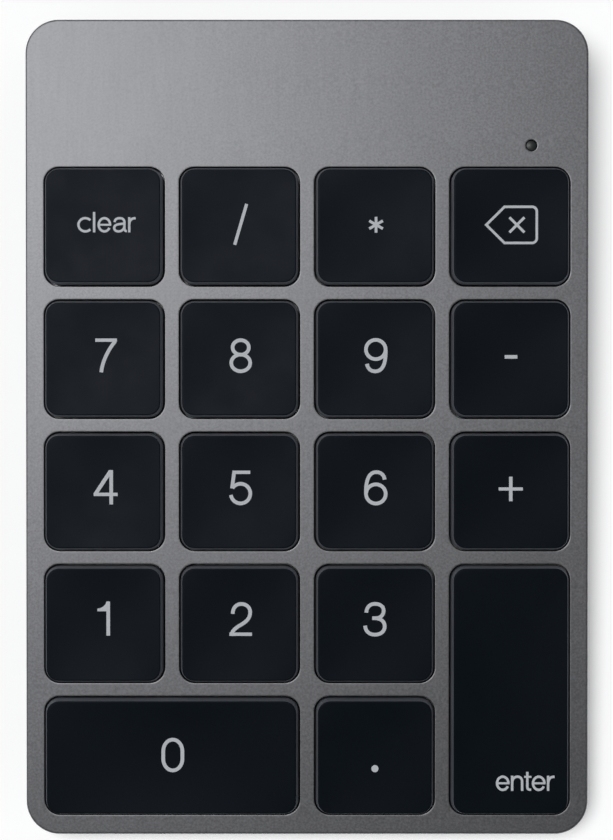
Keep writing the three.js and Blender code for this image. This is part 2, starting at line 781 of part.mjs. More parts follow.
/** The sliding knob, drawn at the off end of its track. */
function switchKnob() {
  const root = BOARD.rear - 0.2 - SWITCH.slotDepth + 0.1;
  const length = REAR_WALL + KNOB.proud - root;
  const x = SWITCH.x - SWITCH.travel / 2;
  const stem = block(
    [-KNOB.width / 2, 0, -KNOB.height / 2],
    [KNOB.width / 2, length, KNOB.height / 2],
  );
  const grooves = [-0.6, 0, 0.6].map((at) =>
    block([at - 0.12, length - 0.15, -2], [at + 0.12, length + 1, 2]),
  );
  const made = piece("power_switch_knob", geometryOf(cut(solid(stem), grooves)), FINISH.black);
  made.position.set(x, root, KNOB_LEVEL);
  return made;
}

/** The rechargeable pouch cell, with its folded side seams and protection board at one end. */
function battery() {
  const { left, right, front, rear, height } = CELL;
  const low = BASE.inside + 0.15;
  const middle = [(left + right) / 2, (front + rear) / 2];
  const outline = roundedRectangle(right - left - 2.4, rear - front, 1.2);
  const pouch = prism(outline, low, low + height, 3).translate(middle[0] - 1.2, middle[1], 0);
  const circuit = block([right - 2.5, front + 1, low + 0.4], [right - 0.2, rear - 1, low + 1.8]);
  return piece("battery", geometryOf(join([pouch, circuit])), FINISH.cell);
}

/** The battery's flat twin lead, looping from its protection board to the circuit board. */
function batteryLead() {
  const low = BASE.inside + 0.15 + 1.8 + 0.6;
  const route = new THREE.CatmullRomCurve3([
    new THREE.Vector3(CELL.right - 1.4, CELL.rear - 5, low),
    new THREE.Vector3(CELL.right - 0.9, CELL.rear - 5, low + 1.2),
    new THREE.Vector3(CELL.right + 0.9, CELL.rear - 5, low + 1.6),
    new THREE.Vector3(BOARD.left + 1.2, CELL.rear - 5, low + 1.1),
    new THREE.Vector3(BOARD.left + 1.6, CELL.rear - 5, BOARD.top + 0.2),
  ]);
  const section = roundedRectangle(0.9, 1.8, 0.4);
  const options = { steps: 10, extrudePath: route, curveSegments: 1 };
  return piece("battery_lead", new THREE.ExtrudeGeometry(section, options), FINISH.lead);
}

function radioModule() {
  const { x, y, width, depth, height } = RADIO;
  const can = prism(roundedRectangle(width, depth, 0.5), BOARD.top + AIR, BOARD.top + height, 2);
  return piece("radio_module", can.translate(x, y, 0), FINISH.steel);
}

/** The clamp that grips the membrane's ribbon. */
function ribbonClamp() {
  const front = SUPPORT.rear + 2.9;
  const half = TAIL.width / 2 + 0.9;
  const body = block([-half, front, BOARD.top + AIR], [half, front + 3.2, BOARD.top + 1.3]);
  const mouth = block(
    [-half + 0.6, front - 1, BOARD.top - 0.2],
    [half - 0.6, front + 2.0, BOARD.top + 0.95],
  );
  const made = geometryOf(cut(solid(body), [mouth])).translate(TAIL.x, 0, 0);
  return piece("ribbon_clamp", made, FINISH.black);
}

// ---------------------------------------------------------------------------------------------
// Assembly
// ---------------------------------------------------------------------------------------------

/** Level, in the deck's frame, of a height above the desk at distance y from the middle. */
const levelOf = (height, y) => (height - MIDDLE_HEIGHT - y * Math.sin(TILT)) / Math.cos(TILT);

const deck = new THREE.Group();
deck.rotation.x = TILT;
deck.position.z = MIDDLE_HEIGHT;
deck.updateMatrix();

const boardLevel = levelOf(BOARD.top, SUPPORT.rear + 3);
deck.add(
  topCase(),
  ...KEYS.map(keycap),
  ...KEYS.map(mechanism),
  domeSheet(),
  membrane(boardLevel + 0.25),
  supportPlate(),
  ...SCREW_PLACES.map(caseScrew),
  statusLens(boardLevel),
);

const keypad = new THREE.Group();
keypad.add(
  deck,
  bottomCover(deck),
  ...FOOT_PLACES.map(foot),
  circuitBoard(),
  chargingSocket(),
  switchBody(),
  switchKnob(),
  battery(),
  batteryLead(),
  radioModule(),
  ribbonClamp(),
);

// The origin is centred under the whole keypad's box.
const box = new THREE.Box3().setFromObject(keypad, true);
const middle = box.getCenter(new THREE.Vector3());
keypad.position.set(-middle.x, -middle.y, -box.min.z);

const part = new THREE.Group();
part.add(keypad);

export default part;
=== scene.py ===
"""A slim wireless numeric keypad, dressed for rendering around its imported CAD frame.

Sizes are in millimetres, and meshes become metres when they are placed. The deck leans towards the
user, so what belongs to it is built in the deck's own frame: x to the right, y towards the rear,
and level above the deck's upper face. The rest is built in the desk's frame.
"""

import json
import math

import bmesh
import bpy
from mathutils import Matrix, Vector, geometry


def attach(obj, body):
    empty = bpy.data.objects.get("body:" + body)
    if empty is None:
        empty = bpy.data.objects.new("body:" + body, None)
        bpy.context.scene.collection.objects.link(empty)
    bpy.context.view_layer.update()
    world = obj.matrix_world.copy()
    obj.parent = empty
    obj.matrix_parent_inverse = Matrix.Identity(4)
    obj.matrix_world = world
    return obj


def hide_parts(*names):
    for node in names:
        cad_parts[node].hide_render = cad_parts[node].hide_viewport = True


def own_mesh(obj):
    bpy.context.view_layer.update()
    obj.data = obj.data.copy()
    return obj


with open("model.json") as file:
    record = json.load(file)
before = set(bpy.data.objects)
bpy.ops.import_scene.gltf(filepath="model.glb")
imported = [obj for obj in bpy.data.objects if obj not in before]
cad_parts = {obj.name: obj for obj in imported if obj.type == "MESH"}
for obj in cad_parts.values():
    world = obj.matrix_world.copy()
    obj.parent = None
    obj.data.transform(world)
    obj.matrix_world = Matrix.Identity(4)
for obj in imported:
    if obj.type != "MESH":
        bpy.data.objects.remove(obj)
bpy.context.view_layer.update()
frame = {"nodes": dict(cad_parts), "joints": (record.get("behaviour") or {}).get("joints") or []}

MM = 0.001  # a millimetre in metres
NODES = frame["nodes"]

# --- Sizes that the frame doesn't give ---

DECK = {"corner": 4.7, "thickness": 1.2, "wall": 1.3, "edge": 0.22, "lower_edge": 0.12}
APERTURE = {"gap": 0.2, "corner": 2.2, "edge": 0.1}
CAP = {
    "draft": 0.30,  # each side leans in this far above the deck
    "edge": 0.12,  # radius between the sides and the face
    "dish": 0.2,  # depth of the hollow that the finger rests in
    "straight": 0.2,  # the sides are upright up to this level
    "wall": 0.9,
    "roof": 0.7,
    "sharp": 40.0,  # edges that turn by fewer degrees are shaded smooth
}
LEGEND = {"raised": 0.012, "sunk": 0.03}
BOSS = {"radius": 1.8, "hole": 0.75, "hole_top": -1.7, "end": -3.63}
LENS = {"hole": 0.8, "hole_edge": 0.08, "stem": 0.75, "flange": 0.8, "gap": 0.05}
LEVER = {
    "span": 9.6,  # from one pin to the other
    "low": -2.7,  # level of the pin on the plate
    "high": 0.1,  # level of the pin in the keycap's clips
    "arm": 4.3,  # from the middle of the lever to the middle of an arm
    "arm_width": 0.8,
    "thickness": 0.7,
    "pin": 0.32,
    "stud": 0.3,
}
DOME = {"base": 2.9, "neck": 1.2, "wall": 0.6, "shoulder": -0.7, "low": -3.38, "sheet": -3.18}
BASE = {
    "inset": 0.6,
    "wall": 1.2,
    "floor": 1.0,
    "chamfer_in": 1.3,
    "chamfer_up": 1.5,
    "seam": -3.42,
    "post": 1.2,
}
LIP = {"thickness": 0.9, "gap": 0.15, "root": -3.7, "top": -2.2}
SOCKET = {
    "shell": 0.3,
    "clearance": 0.25,
    "tongue": 6.7,
    "blade": 0.7,
    "tongue_behind": 0.8,  # behind the shell's rim
    "contacts": 12,  # on each face of the tongue
    "contact_pitch": 0.5,
    "contact_width": 0.26,
    "contact_ends": (3.8, 0.5),  # behind the tongue's end
}
KNOB = {"clearance": 0.22, "travel": 2.0}
OPENING = {"bevel": 0.12, "depth": 3.2}  # through the rear wall
FOOT = {"flat": 3.8, "radius": 4.2, "recess": 0.5, "gap": 0.05}
SUPPORT = 0.15  # width of the flat band next to an edge, which keeps the shading of a face even


# --- The deck's frame ---


def joint(name):
    return next(entry for entry in frame["joints"] if entry["name"] == name)


def deck_frame():
    """The matrix from the deck's own frame to the world, both in metres."""
    up = -Vector(joint("key_5_press")["axis"]).normalized()
    right = Vector((1, 0, 0))
    turn = Matrix((right, up.cross(right), up)).transposed()
    low, high = corners(turn.inverted() @ vertex.co for vertex in NODES["top_case"].data.vertices)
    face = Vector(((low.x + high.x) / 2, (low.y + high.y) / 2, high.z))
    return turn.to_4x4() @ Matrix.Translation(face)


def corners(points):
    """Lowest and highest corner of the box round some points."""
    points = list(points)
    low = Vector(min(point[axis] for point in points) for axis in range(3))
    high = Vector(max(point[axis] for point in points) for axis in range(3))
    return low, high


TO_WORLD = deck_frame()
TO_DECK = TO_WORLD.inverted()
UP = (TO_WORLD.to_3x3() @ Vector((0, 0, 1))).normalized()


def deck_box(node):
    """The corners of a node's box in the deck's frame, in millimetres."""
    return corners(TO_DECK @ vertex.co / MM for vertex in NODES[node].data.vertices)


def desk_box(node):
    """The corners of a node's box in the desk's frame, in millimetres."""
    return corners(vertex.co / MM for vertex in NODES[node].data.vertices)


def middle(box):
    return (box[0] + box[1]) / 2


def on_deck(x, y, level=0.0):
    """A place on the deck, given in millimetres, as a point of the world in metres."""
    return TO_WORLD @ (Vector((x, y, level)) * MM)


class Key:
    """One key: its middle and size in the deck's frame, and its body and joint."""

    def __init__(self, node):
        low, high = deck_box(node)
        self.name = node.removeprefix("keycap_")
        self.node = node
        self.press = f"key_{self.name}_press"
        self.x, self.y, _ = middle((low, high))
        self.width = high.x - low.x
        self.depth = high.y - low.y
        self.bottom = low.z
        self.top = high.z
        self.turned = self.depth > 1.5 * self.width

    def place(self, turn=0.0):
        """The matrix from the key's own frame to the deck's, in millimetres."""
        return Matrix.Translation((self.x, self.y, 0)) @ Matrix.Rotation(turn, 4, "Z")


KEYS = [Key(node) for node in NODES if node.startswith("keycap_")]
SCREWS = [middle(deck_box(f"case_screw_{n}")) for n in (1, 2, 3, 4)]


# --- Camera, lights and floor ---

CAMERA = {
    "distance": 290.0,  # from the deck's upper face
    "height": 118.45,  # how much of the deck's plane the frame takes in, front to rear
    "aim": (-0.08, 1.09),
    "lean": 0.67,  # degrees off square to the deck, towards the rear
}
KEY_LIGHT = {"lean": 12.84, "turn": 139.5, "irradiance": 0.78, "size": 10.7}
FLOOR_LIGHT = {"lean": 14.0, "turn": 150.0, "irradiance": 3.02, "size": 34.0}
FLOOR_SIZE = 6000.0


def camera():
    data = bpy.data.cameras.new("camera")
    data.sensor_width = 36
    data.lens = data.sensor_width * CAMERA["distance"] / CAMERA["height"]
    data.clip_start = 0.01
    eye = bpy.data.objects.new("camera", data)
    bpy.context.collection.objects.link(eye)
    aim = Matrix.Translation((*CAMERA["aim"], 0))
    lean = Matrix.Rotation(-math.radians(CAMERA["lean"]), 4, "X")
    back = Matrix.Translation((0, 0, CAMERA["distance"]))
    placed = aim @ lean @ back
    placed.translation *= MM
    eye.matrix_world = TO_WORLD @ placed
    bpy.context.scene.camera = eye


def sun(name, lean, turn, irradiance, size):
    """A soft distant light. It leans from square to the deck towards turn, an angle from +x, and
    size is its width. All three are in degrees."""
    data = bpy.data.lights.new(name, "SUN")
    data.energy = irradiance
    data.angle = math.radians(size)
    light = bpy.data.objects.new(name, data)
    tilt = Matrix.Rotation(math.radians(turn), 4, "Z") @ Matrix.Rotation(math.radians(lean), 4, "Y")
    light.matrix_world = TO_WORLD.to_3x3().to_4x4() @ tilt
    bpy.context.collection.objects.link(light)
    return light


def light_reaches(light, obj, state):
    """Limits a light to one object, or keeps it off it. state is INCLUDE or EXCLUDE."""
    group = bpy.data.collections.new(f"{light.name}_{state.lower()}")
    group.objects.link(obj)
    group.collection_objects[0].light_linking.link_state = state
    light.light_linking.receiver_collection = group


def studio():
    floor = plane("floor", FLOOR_SIZE)
    floor.data.materials.append(FINISHES["floor"])
    light_reaches(sun("key_light", **KEY_LIGHT), floor, "EXCLUDE")
    light_reaches(sun("floor_light", **FLOOR_LIGHT), floor, "INCLUDE")
    bpy.context.scene.world = surroundings()
    bpy.context.scene.view_settings.view_transform = "Standard"


def surroundings():
    """A world that is pale round the horizon and dark overhead."""
    world = bpy.data.worlds.new("studio")
    world.use_nodes = True
    nodes = world.node_tree.nodes
    links = world.node_tree.links

    def result_of(operation, first, second):
        made = nodes.new("ShaderNodeMath")
        made.operation = operation
        for value, socket in zip((first, second), made.inputs):
            if isinstance(value, bpy.types.NodeSocket):
                links.new(value, socket)
            else:
                socket.default_value = value
        return made.outputs[0]

    direction = nodes.new("ShaderNodeSeparateXYZ")
    links.new(nodes.new("ShaderNodeTexCoord").outputs["Generated"], direction.inputs[0])
    height = direction.outputs["Z"]
    level = result_of("SUBTRACT", 1.0, result_of("MULTIPLY", height, height))
    background = nodes["Background"]
    background.inputs["Color"].default_value = (0.95, 0.975, 1.0, 1)
    links.new(result_of("POWER", level, 3.0), background.inputs["Strength"])
    return world


def plane(name, size):
    half = size * MM / 2
    mesh = bpy.data.meshes.new(name)
    points = [(-half, -half, 0), (half, -half, 0), (half, half, 0), (-half, half, 0)]
    mesh.from_pydata(points, [], [(0, 1, 2, 3)])
    obj = bpy.data.objects.new(name, mesh)
    bpy.context.collection.objects.link(obj)
    return obj


# --- Materials ---


class Finish:
    """A material under construction: a Principled shader fed by procedural textures."""

    def __init__(self, name, colour, roughness, metallic=0.0, **sockets):
        self.material = bpy.data.materials.new(name)
        self.material.use_nodes = True
        self.tree = self.material.node_tree
        self.shader = self.tree.nodes["Principled BSDF"]
        self.colour = colour
        self.roughness = roughness
        self.set("Base Color", (*colour, 1))
        self.set("Roughness", roughness)
        self.set("Metallic", metallic)
        for socket, value in sockets.items():
            self.set(socket.replace("_", " "), value)
        self.place = self.node("ShaderNodeTexCoord").outputs["Object"]

    def set(self, socket, value):
        self.feed(value, self.shader.inputs[socket])

    def node(self, kind, **inputs):
        made = self.tree.nodes.new(kind)
        for socket, value in inputs.items():
            self.feed(value, made.inputs[socket])
        return made

    def feed(self, value, socket):
        if isinstance(value, bpy.types.NodeSocket):
            self.tree.links.new(value, socket)
        else:
            socket.default_value = value

    def noise(self, size, detail=2.0, stretch=(1, 1, 1)):
        """Noise whose features are about size millimetres across, times stretch along each axis."""
        scale = [1 / (size * MM * factor) for factor in stretch]
        scaled = self.node("ShaderNodeMapping", Vector=self.place, Scale=scale)
        place = scaled.outputs["Vector"]
        texture = self.node("ShaderNodeTexNoise", Vector=place, Scale=1.0, Detail=detail)
        return texture.outputs["Fac"]

    def between(self, noise, low, high, dark=0.3, pale=0.7):
        """A value that is low where the noise is at dark, and high where it is at pale."""
        ranged = self.node("ShaderNodeMapRange", Value=noise)
        limits = {"From Min": dark, "From Max": pale, "To Min": low, "To Max": high}
        for socket, value in limits.items():
            ranged.inputs[socket].default_value = value
        return ranged.outputs["Result"]

    def blend(self, factor, first, second):
        mixed = self.node("ShaderNodeMix")
        mixed.data_type = "RGBA"
        self.feed(factor, mixed.inputs["Factor"])
        self.feed(first, mixed.inputs[6])
        self.feed(second, mixed.inputs[7])
        return mixed.outputs[2]

    def mottle(self, *layers):
        """Colour that varies by each layer's (noise, amount)."""
        value = self.colour
        for noise, amount in layers:
            scaled = self.node("ShaderNodeVectorMath")
            scaled.operation = "SCALE"
            self.feed(value, scaled.inputs[0])
            self.feed(self.between(noise, 1 - amount, 1 + amount), scaled.inputs["Scale"])
            value = scaled.outputs["Vector"]
        self.set("Base Color", value)

    def sheen_change(self, noise, amount):
        """Roughness that varies with a noise."""
        self.set("Roughness", self.between(noise, self.roughness - amount, self.roughness + amount))

    def relief(self, *layers):
        """Bumps, each layer a (noise, depth in millimetres)."""
        normal = None
        for noise, depth in layers:
            bump = self.node("ShaderNodeBump", Height=noise, Distance=depth * MM, Strength=1.0)
            if normal is not None:
                self.feed(normal, bump.inputs["Normal"])
            normal = bump.outputs["Normal"]
        self.set("Normal", normal)


def anodised_aluminium():
    """Bead-blasted, then rolled finely enough that faint streaks run front to rear."""
    made = Finish("anodised_aluminium", (0.198, 0.2, 0.211), 0.42, metallic=1.0)
    grain = made.noise(0.3, detail=3)
    streaks = made.noise(0.35, detail=3, stretch=(1, 40, 1))
    clouds = made.noise(9.0)
    made.mottle((grain, 0.2), (streaks, 0.03), (clouds, 0.015))
    made.sheen_change(grain, 0.02)
    made.relief((grain, 0.0012))
    return made.material


def keycap_plastic():
    """Black plastic, spark-eroded to an even matt."""
    made = Finish("keycap_plastic", (0.0006, 0.0045, 0.007), 0.42, Specular_IOR_Level=0.135)
    made.set("Specular Tint", (0.8, 0.815, 1.0, 1))
    grain = made.noise(0.09, detail=2)
    clouds = made.noise(5.0)
    made.mottle((grain, 0.1), (clouds, 0.05))
    made.sheen_change(clouds, 0.02)
    made.relief((grain, 0.0016))
    return made.material


def keycap_side_painted_reflection():
    """The keycaps' sides: smoother than the faces, with a paler grey that is painted reflection."""
    # The paler, bluish grey stands in for the deck's reflection in the leaning sides: painted
    # reflection.
    made = Finish("keycap_side_painted_reflection", (0.135, 0.145, 0.168), 0.35, Specular_IOR_Level=0.6)
    grain = made.noise(0.12, detail=2)
    made.mottle((grain, 0.08))
    made.sheen_change(grain, 0.03)
    made.relief((grain, 0.0006))
    return made.material


def legend_paint():
    made = Finish("legend_paint", (0.84, 0.87, 0.91), 0.6, Specular_IOR_Level=0.2)
    made.mottle((made.noise(0.12, detail=3), 0.06), (made.noise(1.5), 0.03))
    made.relief((made.noise(0.08), 0.001))
    return made.material


def base_plastic():
    """Dark grey plastic with the coarser spark-eroded texture of an underside."""
    made = Finish("base_plastic", (0.052, 0.054, 0.059), 0.55)
    grain = made.noise(0.22, detail=3)
    made.mottle((grain, 0.12), (made.noise(14.0), 0.04))
    made.sheen_change(grain, 0.05)
    made.relief((grain, 0.006))
    return made.material


def foot_rubber():
    made = Finish("foot_rubber", (0.012, 0.012, 0.013), 0.85)
    dust = made.noise(1.2, detail=4)
    made.mottle((dust, 0.25), (made.noise(0.15), 0.1))
    made.sheen_change(dust, 0.06)
    made.relief((made.noise(0.1), 0.004))
    return made.material


def steel():
    """Rolled spring steel, brushed along the rolling direction."""
    made = Finish("steel", (0.55, 0.56, 0.58), 0.32, metallic=1.0)
    brushed = made.noise(0.08, detail=3, stretch=(60, 1, 1))
    made.mottle((brushed, 0.06), (made.noise(6.0), 0.05))
    made.sheen_change(brushed, 0.08)
    made.relief((brushed, 0.0008))
    return made.material


def lever_plastic():
    """Natural acetal: off-white, waxy and slightly translucent."""
    waxy = {"Subsurface_Weight": 0.25, "Subsurface_Scale": 0.0006}
    made = Finish("lever_plastic", (0.66, 0.66, 0.62), 0.42, **waxy)
    made.mottle((made.noise(1.5), 0.03))
    made.sheen_change(made.noise(0.4), 0.05)
    made.relief((made.noise(0.15), 0.001))
    return made.material


def dome_rubber():
    milky = {"Subsurface_Weight": 0.4, "Subsurface_Scale": 0.001}
    made = Finish("dome_rubber", (0.56, 0.58, 0.6), 0.55, **milky)
    made.mottle((made.noise(2.0), 0.04))
    made.sheen_change(made.noise(0.5), 0.06)
    made.relief((made.noise(0.2), 0.002))
    return made.material


def contact_film():
    """Polyester film with silver tracks printed between its layers."""
    made = Finish("contact_film", (0.44, 0.47, 0.42), 0.22, Coat_Weight=0.5, Coat_Roughness=0.1)
    tracks = made.node("ShaderNodeTexWave", Vector=made.place, Scale=160.0, Distortion=2.0)
    printed = made.between(tracks.outputs["Fac"], 0, 1, 0.78, 0.82)
    made.set("Base Color", made.blend(printed, (*made.colour, 1), (0.3, 0.31, 0.32, 1)))
    made.sheen_change(made.noise(3.0), 0.05)
    made.relief((made.noise(2.5), 0.004))
    return made.material


def board_laminate():
    """Green solder mask with copper tracks showing through it."""
    mask = (0.012, 0.075, 0.035)
    made = Finish("board_laminate", mask, 0.3, Coat_Weight=0.6, Coat_Roughness=0.15)
    scaled = made.node("ShaderNodeMapping", Vector=made.place, Scale=(900, 900, 1))
    tracks = made.node("ShaderNodeTexBrick", Vector=scaled.outputs["Vector"], Scale=1.0)
    tracks.inputs["Color1"].default_value = (*mask, 1)
    tracks.inputs["Color2"].default_value = (0.016, 0.09, 0.042, 1)
    tracks.inputs["Mortar"].default_value = (0.03, 0.15, 0.06, 1)
    tracks.inputs["Mortar Size"].default_value = 0.06
    made.set("Base Color", tracks.outputs["Color"])
    made.sheen_change(made.noise(2.0), 0.05)
    made.relief((tracks.outputs["Fac"], 0.02))
    return made.material


def cell_pouch():
    """Aluminium laminate foil, a little wrinkled."""
    made = Finish("cell_pouch", (0.52, 0.53, 0.55), 0.3, metallic=0.9)
    wrinkles = made.noise(3.5, detail=3)
    made.mottle((wrinkles, 0.05))
    made.sheen_change(made.noise(0.6), 0.07)
    made.relief((wrinkles, 0.08), (made.noise(0.12), 0.002))
    return made.material


def lead_insulation():
    made = Finish("lead_insulation", (0.27, 0.012, 0.01), 0.45)
    made.mottle((made.noise(0.8), 0.08))
    made.sheen_change(made.noise(0.4), 0.05)
    made.relief((made.noise(0.2), 0.003))
    return made.material


def lens_plastic():
    """The light pipe's smoky acrylic."""
    made = Finish("lens_plastic", (0.05, 0.065, 0.058), 0.36, Transmission_Weight=0.35, IOR=1.49)
    made.mottle((made.noise(0.5), 0.06))
    made.sheen_change(made.noise(0.3), 0.04)
    return made.material


def black_plastic():
    made = Finish("black_plastic", (0.012, 0.012, 0.013), 0.42)
    grain = made.noise(0.12, detail=2)
    made.mottle((grain, 0.12))
    made.sheen_change(grain, 0.05)
    made.relief((grain, 0.002))
    return made.material


def contact_gold():
    made = Finish("contact_gold", (0.75, 0.5, 0.18), 0.25, metallic=1.0)
    made.mottle((made.noise(0.4), 0.06))
    made.sheen_change(made.noise(0.1), 0.06)
    return made.material


def pale_floor():
    made = Finish("floor", (0.86, 0.86, 0.86), 0.9, Specular_IOR_Level=0.1)
    made.mottle((made.noise(90.0), 0.006))
    return made.material


FINISHES = {
    "aluminium": anodised_aluminium(),
    "keycap": keycap_plastic(),
    # The keycaps' sides, whose paler colour is painted reflection of the deck.
    "keycap_side_painted_reflection": keycap_side_painted_reflection(),
    "legend": legend_paint(),
    "base": base_plastic(),
    "rubber": foot_rubber(),
    "steel": steel(),
    "lever": lever_plastic(),
    "dome": dome_rubber(),
    "film": contact_film(),
    "board": board_laminate(),
    "cell": cell_pouch(),
    "lead": lead_insulation(),
    "lens": lens_plastic(),
    "black": black_plastic(),
    "gold": contact_gold(),
    "floor": pale_floor(),
}


# --- Outlines ---


def rounded(width, depth, radius, corner_steps=8, side_steps=1, at=(0.0, 0.0)):
    """A rectangle with round corners, as points anticlockwise from the right-hand side."""
    radius = max(radius, 0.01)
    x = width / 2 - radius
    y = depth / 2 - radius
    centres = [(x, y, 0), (-x, y, 90), (-x, -y, 180), (x, -y, 270)]
    corner_points = []
    for cx, cy, start in centres:
        for step in range(corner_steps + 1):
            angle = math.radians(start + 90 * step / corner_steps)
            corner_points.append((cx + radius * math.cos(angle), cy + radius * math.sin(angle)))
    points = []
    for i, point in enumerate(corner_points):
        points.append(point)
        if i % (corner_steps + 1) == corner_steps:
            after = corner_points[(i + 1) % len(corner_points)]
            for step in range(1, side_steps):
                share = step / side_steps
                points.append(tuple(a + (b - a) * share for a, b in zip(point, after)))
    return [(px + at[0], py + at[1]) for px, py in points]


def circle(radius, at=(0.0, 0.0), sides=32):
    angles = [2 * math.pi * i / sides for i in range(sides)]
    return [(at[0] + radius * math.cos(a), at[1] + radius * math.sin(a)) for a in angles]


def shrinking(width, depth, corner, corner_steps=8, side_steps=1, at=(0.0, 0.0)):
    """A function that gives the loop at an inset from a rectangle with round corners."""

    def outline(inset):
        size = width - 2 * inset, depth - 2 * inset
        return rounded(*size, corner - inset, corner_steps, side_steps, at)

    return outline


def shrinking_circle(radius, at=(0.0, 0.0), sides=32):
    return lambda inset: circle(radius - inset, at, sides)


def round_over(radius, level, steps=4):
    """(inset, level) pairs of an edge that turns from an upright side to a flat top at level."""
    angles = [math.pi / 2 * step / steps for step in range(steps + 1)]
    return [(radius * (1 - math.cos(a)), level - radius * (1 - math.sin(a))) for a in angles]


# --- Meshes ---


class Skin:
    """A closed mesh made of loops of points, in millimetres."""

    def __init__(self):
        self.mesh = bmesh.new()

    def ring(self, outline, level, place=Matrix()):
        """Adds a loop. level is a height, or a function that gives it from x and y."""
        height = level if callable(level) else lambda x, y: level
        return [self.mesh.verts.new(place @ Vector((x, y, height(x, y)))) for x, y in outline]

    def rings(self, outline, profile, place=Matrix()):
        """Loops of an outline that takes an inset, one for each (inset, level) of a profile."""
        return [self.ring(outline(inset), level, place) for inset, level in profile]

    def block(self, outline, profile):
        """A closed shape with an outline that changes along a profile."""
        rings = self.rings(outline, profile)
        self.wall(*rings)
        self.fill(rings[0])
        self.fill(rings[-1])

    def wall(self, *rings, finish=0):
        for low, high in zip(rings, rings[1:]):
            for i, corner in enumerate(low):
                after = (i + 1) % len(low)
                face = self.mesh.faces.new((corner, low[after], high[after], high[i]))
                face.material_index = finish

    def fill(self, *rings):
        """Closes the area between an outer loop and the loops inside it."""
        edges = []
        for loop in rings:
            for start, end in zip(loop, loop[1:] + loop[:1]):
                edges.append(self.mesh.edges.get((start, end)) or self.mesh.edges.new((start, end)))
        bmesh.ops.triangle_fill(self.mesh, edges=edges, use_beauty=True, normal=(0, 0, 1))

    def fan(self, ring, point):
        tip = self.mesh.verts.new(point)
        for start, end in zip(ring, ring[1:] + ring[:1]):
            self.mesh.faces.new((start, end, tip))

    def piece(self, name, finish, place=Matrix(), sharp=30.0):
        """Ends the mesh and returns it as an object. place is a matrix in millimetres."""
        bmesh.ops.recalc_face_normals(self.mesh, faces=self.mesh.faces)
        data = bpy.data.meshes.new(name)
        self.mesh.to_mesh(data)
        self.mesh.free()
        return shown(name, data, finish, place, sharp)


def shown(name, data, finish, place=Matrix(), sharp=30.0):
    """Places a mesh given in millimetres, and shades it smooth up to the sharp angle in degrees."""
    data.transform(Matrix.Scale(MM, 4) @ place)
    data.materials.append(FINISHES[finish])
    obj = bpy.data.objects.new(name, data)
    bpy.context.collection.objects.link(obj)
    smooth(obj, sharp)
    return obj


def smooth(obj, sharp):
    obj.data.shade_smooth()
    obj.data.set_sharp_from_angle(angle=math.radians(sharp))
    weighted = obj.modifiers.new("weighted_normals", "WEIGHTED_NORMAL")
    weighted.keep_sharp = True


def combine(obj, operation, *others, sharp=30.0):
    """Joins closed pieces to a piece, cuts them out of it or intersects it with them. The other
    pieces are removed."""
    obj.modifiers.clear()
    for other in others:
        boolean = obj.modifiers.new(other.name, "BOOLEAN")
        boolean.operation = operation
        boolean.object = other
    result = obj.evaluated_get(bpy.context.evaluated_depsgraph_get())
    obj.data = bpy.data.meshes.new_from_object(result)
    obj.modifiers.clear()
    for other in others:
        bpy.data.objects.remove(other)
    smooth(obj, sharp)
    return obj


DECK_PLACE = Matrix.Scale(1 / MM, 4) @ TO_WORLD @ Matrix.Scale(MM, 4)


def prism(name, finish, outline, profile, place):
    """A piece made of one block. outline takes an inset, and profile lists (inset, level) pairs."""
    skin = Skin()
    skin.block(outline, profile)
    return skin.piece(name, finish, place)


def lathe(name, finish, profile, place, sides=48):
    """A turned piece, from (radius, height) points listed from the axis round to the axis."""
    skin = Skin()
    rings = [skin.ring(circle(radius, sides=sides), height) for radius, height in profile[1:-1]]
    skin.wall(*rings)
    skin.fan(rings[0], (0, 0, profile[0][1]))
    skin.fan(rings[-1], (0, 0, profile[-1][1]))
    return skin.piece(name, finish, place)


def dress(finish, *nodes):
    """Gives carried-over CAD nodes a material."""
    for node in nodes:
        for material_slot in NODES[node].material_slots:
            material_slot.material = FINISHES[finish]


def stand_in(piece, node, body):
    """Says that a piece takes a CAD node's place."""
    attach(piece, body)
    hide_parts(node)


# --- Deck ---


def box_outline(box, corner, corner_steps=14):
    """A shrinking outline round a box seen from above."""
    size = box[1] - box[0]
    return shrinking(size.x, size.y, corner, corner_steps, at=middle(box))


DECK_OUTLINE = box_outline(deck_box("top_case"), DECK["corner"])


def deck():
    """The top case: a plate with a skirt, the keys' openings, the light's hole and the bosses."""
    skin = Skin()
    bottom = deck_box("top_case")[0].z
    under = -DECK["thickness"]
    edge = DECK["lower_edge"]
    profile = [(DECK["wall"], bottom), (edge, bottom), (0.0, bottom + edge)]
    outside = skin.rings(DECK_OUTLINE, profile + round_over(DECK["edge"], 0))
    ceiling = skin.ring(DECK_OUTLINE(DECK["wall"]), under)
    outer = skin.ring(DECK_OUTLINE(DECK["edge"] + SUPPORT), 0)
    inner = skin.ring(DECK_OUTLINE(DECK["wall"] + SUPPORT), under)
    skin.wall(inner, ceiling, *outside, outer)
    openings = [aperture(skin, key, under) for key in KEYS] + [lens_hole(skin, under)]
    skin.fill(outer, *[upper for upper, _ in openings])
    bosses = [boss(skin, screw, under) for screw in SCREWS]
    skin.fill(inner, *[lower for _, lower in openings], *bosses)
    piece = skin.piece("deck", "aluminium", DECK_PLACE)
    stand_in(piece, "top_case", "base")


def opening(skin, outline, edge, under):
    """The walls of a hole through the deck. Returns the loops round its upper and lower ends."""
    profile = [(edge + SUPPORT, under), (edge, under), (0.0, under + edge)]
    profile += round_over(edge, 0, steps=3) + [(edge + SUPPORT, 0)]
    rings = skin.rings(outline, [(-outset, level) for outset, level in profile])
    skin.wall(*rings)
    return rings[-1], rings[0]


def aperture(skin, key, under):
    width = key.width + 2 * APERTURE["gap"]
    depth = key.depth + 2 * APERTURE["gap"]
    outline = shrinking(width, depth, APERTURE["corner"], at=(key.x, key.y))
    return opening(skin, outline, APERTURE["edge"], under)


